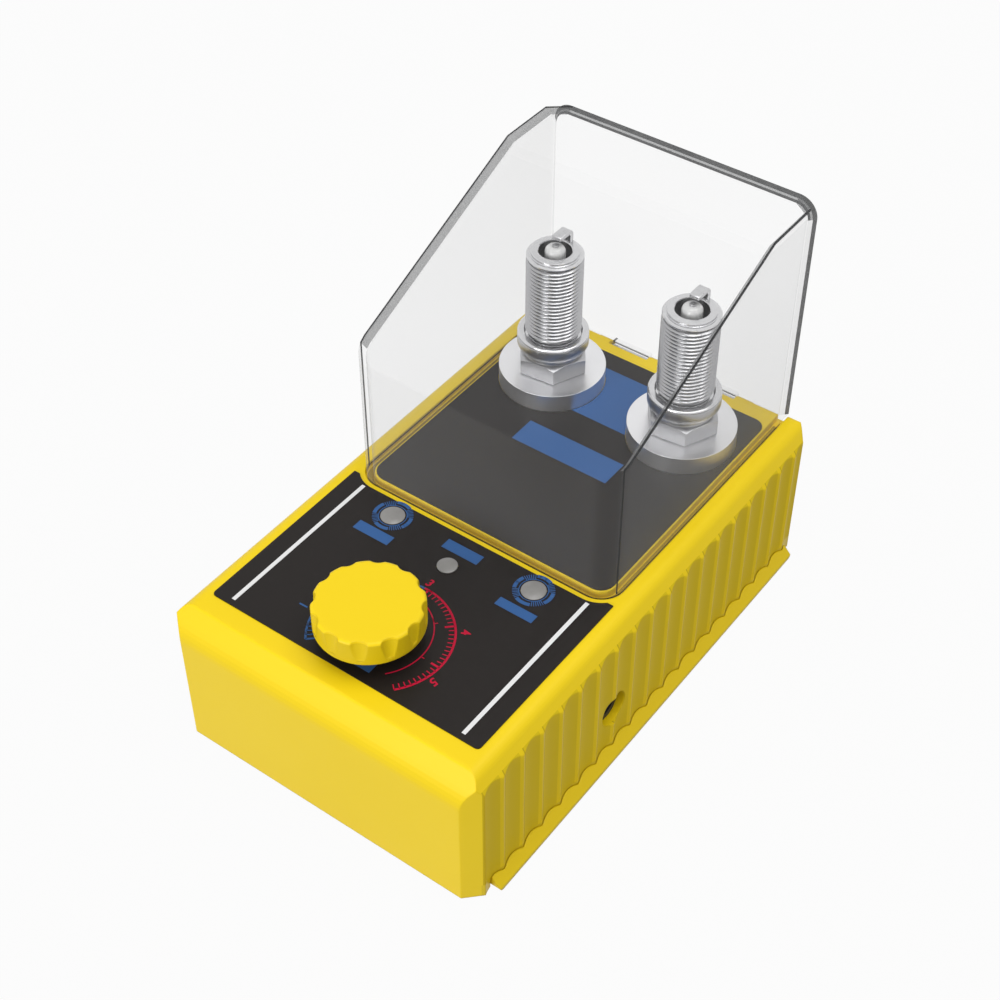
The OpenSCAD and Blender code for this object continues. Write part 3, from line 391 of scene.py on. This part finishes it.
def made(name, verts, faces, material, body, slot, smooth=SHARP):
    """A piece from points in millimetres."""
    mesh = bpy.data.meshes.new(name)
    mesh.from_pydata([Vector(v) * MM for v in verts], [], faces)
    shop = bmesh.new()
    shop.from_mesh(mesh)
    bmesh.ops.remove_doubles(shop, verts=shop.verts, dist=WELD)
    bmesh.ops.recalc_face_normals(shop, faces=shop.faces)
    shop.to_mesh(mesh)
    shop.free()
    mesh.shade_smooth()
    mesh.set_sharp_from_angle(angle=math.radians(smooth))
    mesh.materials.append(material)
    piece = bpy.data.objects.new(name, mesh)
    bpy.context.scene.collection.objects.link(piece)
    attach(piece, body)
    return piece


def bevelled(piece, width, angle=SHARP):
    """Rounds a piece's sharp edges in two steps."""
    edge = piece.modifiers.new("soft_edges", "BEVEL")
    edge.width = width * MM
    edge.segments = 2
    edge.limit_method = "ANGLE"
    edge.angle_limit = math.radians(angle)


def on_circle(centre, r, t):
    return centre[0] + r * math.cos(t), centre[1] + r * math.sin(t)


# Prints on the films
FILM_TOP, INK, SUNK = 41.3, 0.03, 0.01


class Sheet:
    """Collects flat prints of one ink, each a thin slab on the film."""

    def __init__(self):
        self.verts = []
        self.faces = []

    def slab(self, outline):
        first, count = len(self.verts), len(outline)
        self.verts += [(x, y, z) for z in (FILM_TOP - SUNK, FILM_TOP + INK) for x, y in outline]
        self.faces.append([first + k for k in reversed(range(count))])
        self.faces.append([first + count + k for k in range(count)])
        for k in range(count):
            n = (k + 1) % count
            self.faces.append([first + k, first + n, first + count + n, first + count + k])

    def block(self, x0, y0, x1, y1):
        """A rectangle."""
        self.slab([(x0, y0), (x1, y0), (x1, y1), (x0, y1)])

    def band(self, centre, inner, outer, start, end, steps):
        """Part of a ring, cut into four-sided slabs."""
        for k in range(steps):
            a, c = (math.radians(start + (end - start) * q / steps) for q in (k, k + 1))
            ring = [(inner, a), (outer, a), (outer, c), (inner, c)]
            self.slab([on_circle(centre, r, t) for r, t in ring])

    def ray(self, centre, inner, outer, t, width):
        """A straight stroke away from a centre."""
        start = Vector(on_circle(centre, inner, t))
        end = Vector(on_circle(centre, outer, t))
        along = (end - start).normalized()
        side = Vector((-along.y, along.x)) * width / 2
        self.slab([tuple(p) for p in (start - side, end - side, end + side, start + side)])


prints = {colour: Sheet() for colour in ink}
# White stripes along the front film's sides
STRIPE_X, STRIPE_HALF, STRIPE_FRONT, STRIPE_BACK = 31.95, 0.5, -58.4, -12.9
for x in (-STRIPE_X, STRIPE_X):
    prints["white"].block(x - STRIPE_HALF, STRIPE_FRONT, x + STRIPE_HALF, STRIPE_BACK)
# Blue tags, each from its front left corner to its back right one
TAGS = {
    "left": (-25.2, -25.2, -15.2, -22.3),
    "right": (15.35, -25.2, 25.35, -22.7),
    "power": (-4.9, -18.1, 5.05, -15.1),
    "under_knob": (-4.2, -57.2, 5.8, -54.3),
    "plate": (-13.7, 21.4, 13.6, 29.3),
}
for corners in TAGS.values():
    prints["blue"].block(*corners)
# Blue field between the two earth rings, which bound it
FIELD_FRONT, FIELD_BACK, FIELD_STEPS = 38.5, 57.0, 12
field = []
for side, start, end in ((1, FIELD_FRONT, FIELD_BACK), (-1, FIELD_BACK, FIELD_FRONT)):
    for k in range(FIELD_STEPS + 1):
        y = start + (end - start) * k / FIELD_STEPS
        field.append((side * (RING_X - math.sqrt(RING_R ** 2 - (y - RING_Y) ** 2)), y))
prints["blue"].slab(field)
# Marks round the two signal lamps: a thin circle, and round it four bands with spokes between them
LAMP_X, LAMP_Y = 20.1, -16.8
CIRCLE_IN, CIRCLE_OUT = 3.25, 3.45
BAND_IN, BAND_OUT, BAND_HALF = 4.0, 4.9, 24
SPOKES, SPOKE_TURN, SPOKE_OUT, SPOKE_W = 6, 6.5, 4.85, 0.2
for lamp_x in (-LAMP_X, LAMP_X):
    lamp_at = (lamp_x, LAMP_Y)
    for middle in range(0, 360, 90):
        prints["blue"].band(lamp_at, BAND_IN, BAND_OUT, middle - BAND_HALF, middle + BAND_HALF, 10)
        prints["blue"].band(lamp_at, CIRCLE_IN, CIRCLE_OUT, middle - 45, middle + 45, 12)
        for k in range(SPOKES):
            t = math.radians(middle + 45 + (k - (SPOKES - 1) / 2) * SPOKE_TURN)
            prints["blue"].ray(lamp_at, CIRCLE_OUT, SPOKE_OUT, t, SPOKE_W)
# Dial: a ring that widens from its blue start to its red end
OUTER_AT, OUTER_R, OUTER_HALF = (0.73, -46.94), 16.32, 0.25
INNER_AT, INNER_R, INNER_HALF = (-1.1, -46.82), 13.03, 0.14
START, TURN, END = 222.0, 92.0, -41.0
TICK_TURN, LONG_EVERY, ARC_STEP = 4.4, 10, 3
LONG_REACH, LONG_W, SHORT_REACH, SHORT_W, INNER_REACH = 2.3, 0.5, 1.5, 0.24, 0.9
for colour, a, c in (("blue", START, TURN), ("red", TURN, END)):
    steps = int(abs(a - c) / ARC_STEP)
    prints[colour].band(OUTER_AT, OUTER_R - OUTER_HALF, OUTER_R + OUTER_HALF, a, c, steps)
    prints[colour].band(INNER_AT, INNER_R - INNER_HALF, INNER_R + INNER_HALF, a, c, steps)
ticks = int((START - END) / TICK_TURN)
for k in range(ticks + 1):
    angle = START - k * (START - END) / ticks
    sheet = prints["blue" if angle > TURN else "red"]
    t = math.radians(angle)
    if k % LONG_EVERY == 0:
        sheet.ray(OUTER_AT, OUTER_R - LONG_REACH, OUTER_R, t, LONG_W)
        sheet.ray(INNER_AT, INNER_R, INNER_R + INNER_REACH, t, SHORT_W)
    else:
        sheet.ray(OUTER_AT, OUTER_R - SHORT_REACH, OUTER_R, t, SHORT_W)
for colour, sheet in prints.items():
    made(f"{colour}_print", sheet.verts, sheet.faces, ink[colour], "case", "film_black")

# Numbers of the dial, with their tops turned outwards
DIAL_Y, DIGIT_SIZE, DIGIT_SHEAR, DIGIT_SWELL, DIGIT_DEEP = -47.4, 3.0, 0.15, 0.06, 0.015
NUMBERS = {
    "1": (-18.1, -50.7, "blue"),
    "2": (-15.3, -35.7, "blue"),
    "3": (0.0, -28.8, "red"),
    "4": (15.3, -35.7, "red"),
    "5": (18.4, -50.9, "red"),
}
for digit, (x, y, colour) in NUMBERS.items():
    letter = bpy.data.curves.new(f"dial_{digit}", "FONT")
    letter.body = digit
    letter.size = DIGIT_SIZE * MM
    letter.shear = DIGIT_SHEAR
    letter.offset = DIGIT_SWELL * MM
    letter.extrude = DIGIT_DEEP * MM
    letter.align_x = "CENTER"
    letter.align_y = "CENTER"
    letter.materials.append(ink[colour])
    sign = bpy.data.objects.new(f"dial_{digit}", letter)
    bpy.context.scene.collection.objects.link(sign)
    sign.location = Vector((x, y, FILM_TOP + DIGIT_DEEP)) * MM
    sign.rotation_euler.z = math.atan2(y - DIAL_Y, x) - math.pi / 2
    bpy.context.view_layer.update()
    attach(sign, "case")

# Hood
QUARTER = [math.radians(9 * k) for k in range(11)]


def roof_height(inset, y):
    """Height of a skin's sloping roof."""
    return HOOD_STEP - inset * SLANT + RISE * (y - HOOD_FRONT)


def roof_kink(inset):
    """Where a skin's sloping roof meets its level top."""
    return HOOD_FRONT + (HOOD_TOP - inset - HOOD_STEP + inset * SLANT) / RISE


def hood_skin(inset, points, faces):
    """One skin of the hood. Gives its lower edge, from the back right round the front to the back left."""
    x, front, back, top = HOOD_X - inset, HOOD_FRONT + inset, HOOD_BACK - inset, HOOD_TOP - inset
    r, back_r = HOOD_R - inset, HOOD_BACK_R - inset

    def point(*p):
        points.append(p)
        return len(points) - 1

    arc = [(x - r + r * math.cos(t), front + r - r * math.sin(t)) for t in QUARTER]
    outline = arc + [(-px, py) for px, py in reversed(arc)]
    low = [point(px, py, HOOD_LOW) for px, py in outline]
    high = [point(px, py, roof_height(inset, py)) for px, py in outline]
    faces += [[low[k], low[k + 1], high[k + 1], high[k]] for k in range(len(outline) - 1)]
    foot_at = ((back, HOOD_BACK_LOW), (HOOD_RELIEF, HOOD_BACK_LOW), (HOOD_RELIEF, HOOD_LOW))
    kink, zone, fan, foot = {}, {}, {}, {}
    for side, end in ((1, 0), (-1, -1)):
        kink[side] = point(side * x, roof_kink(inset), top)
        zone[side] = point(side * x, HOOD_ZONE, top)
        rounded = [on_circle((x - back_r, top - back_r), back_r, t) for t in QUARTER]
        fan[side] = [point(side * px, back, pz) for px, pz in rounded]
        foot[side] = [point(side * x, py, pz) for py, pz in foot_at]
        faces.append([low[end], high[end], kink[side], zone[side], fan[side][0], *foot[side]])
        faces += [[zone[side], after, before] for before, after in zip(fan[side], fan[side][1:])]
    faces.append([*high, kink[-1], kink[1]])
    faces.append([kink[1], kink[-1], zone[-1], fan[-1][-1], fan[1][-1], zone[1]])
    faces.append([foot[1][0], *fan[1], *reversed(fan[-1]), foot[-1][0]])
    return foot[1] + low + list(reversed(foot[-1]))


HOOD_SHARP, HOOD_ROUNDING = 30.0, 0.3
hood_points, hood_faces = [], []
outer_rim = hood_skin(0.0, hood_points, hood_faces)
inner_rim = hood_skin(HOOD_WALL, hood_points, hood_faces)
count = len(outer_rim)
for k in range(count):
    n = (k + 1) % count
    hood_faces.append([outer_rim[k], outer_rim[n], inner_rim[n], inner_rim[k]])
clear = finish["clear_acrylic"]
hood = made("hood_shell", hood_points, hood_faces, clear, "hood", "clear_acrylic", HOOD_SHARP)
bevelled(hood, HOOD_ROUNDING, HOOD_SHARP)
# Hinge lugs: a barrel with a web up to the hood's back
HINGE_AT, BARREL, PIN_HOLE = (67.9, 38.8), 1.5, 0.8
BARREL_START, BARREL_SWEEP, BARREL_STEPS = 97.7, 283, 24
LUGS = ((-15.0, -4.0), (10.8, 21.8))
barrel_turns = [math.radians(BARREL_START + k * BARREL_SWEEP / BARREL_STEPS) for k in range(BARREL_STEPS + 1)]
lug_side = [(HOOD_BACK - HOOD_WALL, HOOD_BACK_LOW)]
lug_side += [on_circle(HINGE_AT, BARREL, t) for t in barrel_turns]
lug_side += [(HOOD_BACK, HOOD_BACK_LOW)]
size = len(lug_side)
hole = [on_circle(HINGE_AT, PIN_HOLE, math.radians(BARREL_START + k * 360 / size)) for k in range(size)]
lug_points, lug_faces = [], []
for x0, x1 in LUGS:
    rim = len(lug_points)
    bore = rim + size
    lug_points += [(x, y, z) for x in (x0, x1) for y, z in lug_side + hole]
    far_rim, far_bore = rim + 2 * size, bore + 2 * size
    for k in range(size):
        n = (k + 1) % size
        lug_faces.append([rim + k, rim + n, far_rim + n, far_rim + k])
        lug_faces.append([bore + k, far_bore + k, far_bore + n, bore + n])
        lug_faces.append([rim + k, bore + k, bore + n, rim + n])
        lug_faces.append([far_rim + k, far_rim + n, far_bore + n, far_bore + k])
made("hood_lugs", lug_points, lug_faces, clear, "hood", "clear_acrylic")
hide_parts("clear_hood")


def strip(rows, points, faces):
    """A band of sheets along rows of points."""
    base, wide = len(points), len(rows[0])
    points += [p for row in rows for p in row]
    for i in range(len(rows) - 1):
        for k in range(wide - 1):
            here = base + i * wide + k
            faces.append([here, here + 1, here + wide + 1, here + wide])


def bead(rows, points, faces):
    """A closed three-sided rod along rows of three points."""
    base = len(points)
    strip([[*row, row[0]] for row in rows], points, faces)
    last = base + 4 * (len(rows) - 1)
    faces += [[base, base + 1, base + 2], [last, last + 2, last + 1]]


def corner(side, inset, turn):
    """A point on the rounded front corner of a skin, at the height of the sloping roof."""
    r, t = HOOD_R - inset, math.radians(turn)
    y = HOOD_FRONT + HOOD_R - r * math.sin(t)
    return side * (HOOD_X - HOOD_R + r * math.cos(t)), y, roof_height(inset, y)


def arch_point(side, t, inset):
    """A point on the rounded top corner of the hood's back."""
    x, z = on_circle((HOOD_X - HOOD_BACK_R, HOOD_TOP - HOOD_BACK_R), HOOD_BACK_R - inset, t)
    return side * x, HOOD_BACK - inset, z


# Edges of the hood, painted: grey painted shade where its cheeks and its back meet the roof in mitres, and a
# painted dark line along each crease, which catches the light
SKIN, CREASE, LEAN = 0.03, 0.42, 18.0
UPRIGHT_LOW, UPRIGHT_DEEP, UPRIGHT_HALF = 41.1, 0.3, 0.2
REAR_LINE, REAR_LIFT = 0.75, 0.1


def cheek_line(side, inset, kink):
    """Edge of a skin along a cheek: from the front corner up the slope and back to the rounded top corner."""
    x, top = side * (HOOD_X - inset), HOOD_TOP - inset
    line = [corner(side, inset, LEAN), corner(side, inset, 0), (x, kink, top), (x, HOOD_ZONE, top)]
    return line + [arch_point(side, math.pi / 2, inset)]


grey_edge_shade, rods, rear, pale = ([], []), ([], []), ([], []), ([], [])
for side in (1, -1):
    outer_line = cheek_line(side, SKIN, HOOD_KINK)
    inner_line = cheek_line(side, HOOD_WALL, roof_kink(HOOD_WALL))
    strip(list(zip(outer_line, inner_line)), *grey_edge_shade)
    # The crease on the left, a painted dark line, runs on round the corner, where the light catches it
    crease = outer_line if side < 0 else outer_line[:-1]
    bead([((x, y, z), (x - side * CREASE, y, z), (x, y, z - CREASE)) for x, y, z in crease], *rods)
    # Upright edge of the front corner, a painted dark line
    x, y, z = corner(side, SKIN, LEAN)
    turn = math.radians(LEAN)
    away = Vector((side * math.cos(turn), -math.sin(turn), 0))
    along = Vector((side * math.sin(turn), math.cos(turn), 0))
    front_rows = []
    for h in (UPRIGHT_LOW, z):
        tip = Vector((x, y, h))
        heels = [tip - UPRIGHT_DEEP * away + s * along for s in (UPRIGHT_HALF, -UPRIGHT_HALF)]
        front_rows.append([tuple(p) for p in (tip, *heels)])
    bead(front_rows, *rods)
    # Upright edge at the back: a painted dark line on the right, and a pale painted highlight on the left
    back_rows = [[(side * (HOOD_X - d), HOOD_BACK - d, h) for d in (SKIN, REAR_LINE, HOOD_WALL)]
                 for h in (HOOD_BACK_LOW + REAR_LIFT, HOOD_TOP - HOOD_BACK_R)]
    strip([row[:2] for row in back_rows], *(rear if side > 0 else pale))
    strip([row[1:] for row in back_rows], *pale)
# Top edge of the back: two painted dark lines with a lighter grey painted core
CORE_START, CORE_END = 0.8, 1.15
turns = [math.radians(7.5 * k) for k in range(13)]
arch = [(1, t) for t in turns] + [(-1, t) for t in reversed(turns)]
top_lines = ((SKIN, CORE_START, rear), (CORE_START, CORE_END, grey_edge_shade), (CORE_END, HOOD_WALL, rear))
for start, end, sheets in top_lines:
    strip([[arch_point(s, t, d) for d in (start, end)] for s, t in arch], *sheets)
# Lower edge of the sheet, a tan painted shade in the colour of its groove, and a dark painted shadow line
# where it comes out of the deck
DECK, LINE, LINE_SHARE, FOOT_LIFT = 41.0, 0.5, 0.02, 0.06
rims = [[Vector(hood_points[rim[k]][:2]) for rim in (outer_rim, inner_rim)] for k in range(2, count - 2)]
foot, foot_line = ([], []), ([], [])
strip([[(*p, HOOD_LOW + FOOT_LIFT) for p in pair] for pair in rims], *foot)
line_at = [outer.lerp(inner, LINE_SHARE) for outer, inner in rims]
strip([[(*p, h) for h in (DECK - LINE, DECK)] for p in line_at], *foot_line)
# Front and left end of each hinge lug, painted dark shadow lines
LUG_LOW, LUG_TOP, LUG_END = 40.3, 40.85, 0.6
LUG_FRONT, LUG_BACK = HOOD_BACK - HOOD_WALL + 0.02, HOOD_BACK - 0.1
for x0, x1 in LUGS:
    strip([[(x, LUG_FRONT, h) for h in (LUG_LOW, LUG_TOP)] for x in (x0, x1)], *foot_line)
    strip([[(x, y, LUG_TOP) for y in (LUG_FRONT, LUG_BACK)] for x in (x0, x0 + LUG_END)], *foot_line)
made("hood_foot", *foot, edge_tan, "hood", "clear_acrylic")
made("hood_foot_line", *foot_line, edge_dark, "hood", "clear_acrylic")
made("hood_pale_edges", *pale, edge_pale, "hood", "clear_acrylic")
made("hood_side_edge_shade", *grey_edge_shade, edge_grey, "hood", "clear_acrylic")
made("hood_rear_edge_shade", *rear, edge_rear, "hood", "clear_acrylic")
made("hood_creases", *rods, edge_dark, "hood", "clear_acrylic")

# Spark plugs
SEGMENTS = 120
HEX_FLAT, HEX_CHAMFER, HEX_H, HEX_TURN = 8.0, 0.2, 5.0, 6.0
PITCH, CREST, ROOT, THREAD_FADE, THREAD_ROWS = 1.05, 7.0, 6.4, 0.8, 10
FLANK_SLOPE, ROOT_FLAT = 2.6, 0.15


def lathe(rows, name, at, body):
    """A closed turned piece. A row is a radius and a height, or a function of the angle that gives them."""
    verts, faces = [], []
    for row in rows:
        for k in range(SEGMENTS):
            t = 2 * math.pi * k / SEGMENTS
            r, z = row(t) if callable(row) else row
            verts.append((*on_circle(at, r, t), at[2] + z))
    for i in range(len(rows)):
        here, there = i * SEGMENTS, (i + 1) % len(rows) * SEGMENTS
        for k in range(SEGMENTS):
            n = (k + 1) % SEGMENTS
            faces.append([here + k, here + n, there + n, there + k])
    return made(name, verts, faces, plug_steel, body, "plated_steel")


def hexagon(inset, height):
    """A row that follows the hexagon; near the top its height follows the turned chamfer on the corners."""
    def row(t):
        off = (math.degrees(t) - HEX_TURN) % 60 - 30
        r = HEX_FLAT / math.cos(math.radians(off))
        return r - inset, min(height, HEX_H - (r - HEX_FLAT + HEX_CHAMFER) * math.tan(math.radians(30)))
    return row


def thread(z):
    """A row of the screw thread at a height, fading out at both ends."""
    def row(t):
        phase = (z / PITCH - t / (2 * math.pi)) % 1
        tooth = min(1.0, max(0.0, (0.5 - abs(phase - 0.5)) * FLANK_SLOPE - ROOT_FLAT))
        fade = min(1.0, max(0.0, (z - THREAD_LOW) / THREAD_FADE), max(0.0, (THREAD_HIGH - z) / THREAD_FADE))
        return ROOT + (CREST - ROOT) * tooth * fade, z
    return row


# Profile of a shell: lower bore, hexagon, neck, collar, thread, rim and upper bore
shell_rows = [(5.66, 6.98), (5.66, 0.0)]
shell_rows += [hexagon(0.35, 0.0), hexagon(0.0, 0.3), hexagon(0.0, HEX_H), (7.8, HEX_H)]
shell_rows += [(7.65, 5.02), (7.6, 5.2), (7.6, 6.8), (7.7, 6.97)]
shell_rows += [(8.6, 7.0), (8.84, 7.07), (8.9, 7.25), (8.9, 9.75), (8.84, 9.93), (8.6, 9.99)]
shell_rows += [(7.02, 9.99), (6.35, 10.2), (6.3, 10.6)]
for k in range(int((THREAD_HIGH - THREAD_LOW) * THREAD_ROWS / PITCH) + 1):
    shell_rows.append(thread(THREAD_LOW + k * PITCH / THREAD_ROWS))
shell_rows += [(6.4, 33.04), (6.9, 33.1), (6.97, 33.2), (6.97, 33.35), (6.65, 33.68), (6.5, 33.7)]
shell_rows += [(6.0, 33.7), (5.89, 33.8), (5.89, 34.35), (5.75, 34.5), (4.25, 34.5), (4.06, 34.32)]
shell_rows += [(4.06, 24.0), (2.62, 24.0), (2.62, 6.98)]
# Profile of a crush washer
washer_rows = [(7.06, 10.1), (7.06, 10.55), (7.25, 10.69), (8.2, 10.69), (8.6, 10.65), (8.82, 10.5)]
washer_rows += [(8.88, 10.35), (8.82, 10.18), (8.6, 10.05), (8.2, 10.01), (7.25, 10.01)]
# Side of an earth strap, which rises from the rim and bends over the centre electrode
STRAP_FOOT, STRAP_BEND, STRAP_TOP, STRAP_UNDER = 34.4, 36.4, 38.0, 36.9
STRAP_BACK, STRAP_LEG, STRAP_TIP, STRAP_HALF, STRAP_ROUNDING = 5.62, 4.5, 0.3, 1.35, 0.18
STRAP_R = STRAP_TOP - STRAP_BEND
bend = [(STRAP_BACK, STRAP_FOOT), (STRAP_BACK, STRAP_BEND)]
bend += [on_circle((STRAP_BACK - STRAP_R, STRAP_BEND), STRAP_R, math.radians(15 * k)) for k in range(1, 7)]
bend += [(STRAP_TIP, STRAP_TOP), (STRAP_TIP, STRAP_UNDER), (4.0, STRAP_UNDER), (4.35, 36.75)]
bend += [(STRAP_LEG, STRAP_BEND), (STRAP_LEG, STRAP_FOOT)]
n = len(bend)
strap_faces = [list(range(n)), [n + k for k in reversed(range(n))]]
strap_faces += [[k, (k + 1) % n, n + (k + 1) % n, n + k] for k in range(n)]
for side, x in (("left", -RING_X), ("right", RING_X)):
    body = f"{side}_plug"
    seat = (x, RING_Y, RING_TOP)
    shell = lathe(shell_rows, f"{side}_threaded_shell", seat, body)
    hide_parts(f"{side}_plug_shell")
    washer = lathe(washer_rows, f"{side}_crush_washer", seat, body)
    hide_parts(f"{side}_plug_gasket")
    strap_points = []
    for edge_x in (x + STRAP_HALF, x - STRAP_HALF):
        strap_points += [(edge_x, RING_Y + y, RING_TOP + z) for y, z in bend]
    steel = finish["plated_steel"]
    strap = made(f"{side}_earth_strap", strap_points, strap_faces, steel, body, "plated_steel")
    bevelled(strap, STRAP_ROUNDING)

# Camera
EYE_AT, LENS, SENSOR = Vector((176.570, -242.594, 333.797)), 64.777, 36.0
EYE_RIGHT = Vector((0.80607, 0.59182, 0.0))
EYE_UP = Vector((-0.41063, 0.55929, 0.72018))
EYE_BACK = Vector((0.42622, -0.58052, 0.69382))
eye = bpy.data.objects.new("photo_camera", bpy.data.cameras.new("photo_camera"))
bpy.context.scene.collection.objects.link(eye)
eye.data.lens = LENS
eye.data.sensor_width = SENSOR
eye.data.sensor_fit = "HORIZONTAL"
eye.data.clip_start = 0.01
eye.data.clip_end = 20.0
eye_matrix = Matrix((EYE_RIGHT, EYE_UP, EYE_BACK)).transposed().to_4x4()
eye_matrix.translation = EYE_AT * MM
eye.matrix_world = eye_matrix
bpy.context.scene.camera = eye

# Studio, in metres
LOOK_AT = Vector((0, 0, 0.03))
WORLD_LIGHT, FLOOR_GREY, FLOOR_SHARE, FLOOR_HALF = 0.42, 0.28, 0.96, 6
WHITE = (1, 1, 1, 1)


def lamp(name, where, size, power):
    """A round lamp that looks at the case."""
    light = bpy.data.lights.new(name, "AREA")
    light.shape = "DISK"
    light.size = size
    light.energy = power
    piece = bpy.data.objects.new(name, light)
    bpy.context.scene.collection.objects.link(piece)
    piece.location = where
    piece.rotation_euler = (LOOK_AT - Vector(where)).to_track_quat("-Z", "Y").to_euler()


lamp("key_lamp", (-0.1, -1.25, 0.45), 0.8, 8.9)
lamp("top_lamp", (0.3, 0.05, 1.25), 1.2, 8.6)


def backdrop_share(b):
    """1 for rays that look at the background: from the eye, off a gloss or through a clear piece."""
    seen, gloss, through = (b.add("ShaderNodeLightPath", out=f"Is {ray} Ray")
                            for ray in ("Camera", "Glossy", "Transmission"))
    return seen.sum("MAXIMUM", seen.sum("MAXIMUM", seen, gloss), through)


world = bpy.data.worlds.new("studio")
bpy.context.scene.world = world
b = Bench("studio", world)
b.add("ShaderNodeOutputWorld", sockets={"Surface": b.add("ShaderNodeMixShader", sockets={
    0: backdrop_share(b),
    1: b.add("ShaderNodeBackground", sockets={"Color": WHITE, "Strength": WORLD_LIGHT}),
    2: b.add("ShaderNodeBackground", sockets={"Color": WHITE, "Strength": 1.0})})})
b = Bench("pale_floor")
floor_white = b.close(b.add("ShaderNodeMixShader", sockets={
    0: backdrop_share(b) * FLOOR_SHARE,
    1: b.add("ShaderNodeBsdfDiffuse", sockets={"Color": (FLOOR_GREY, FLOOR_GREY, FLOOR_GREY, 1)}),
    2: b.add("ShaderNodeEmission", sockets={"Color": WHITE, "Strength": 1.0})}))
ground = bpy.data.meshes.new("floor")
floor_corners = [(x * FLOOR_HALF, y * FLOOR_HALF, 0) for x, y in ((-1, -1), (1, -1), (1, 1), (-1, 1))]
ground.from_pydata(floor_corners, [], [(0, 1, 2, 3)])
ground.materials.append(floor_white)
floor = bpy.data.objects.new("floor", ground)
bpy.context.scene.collection.objects.link(floor)
bpy.context.scene.view_settings.view_transform = "Standard"
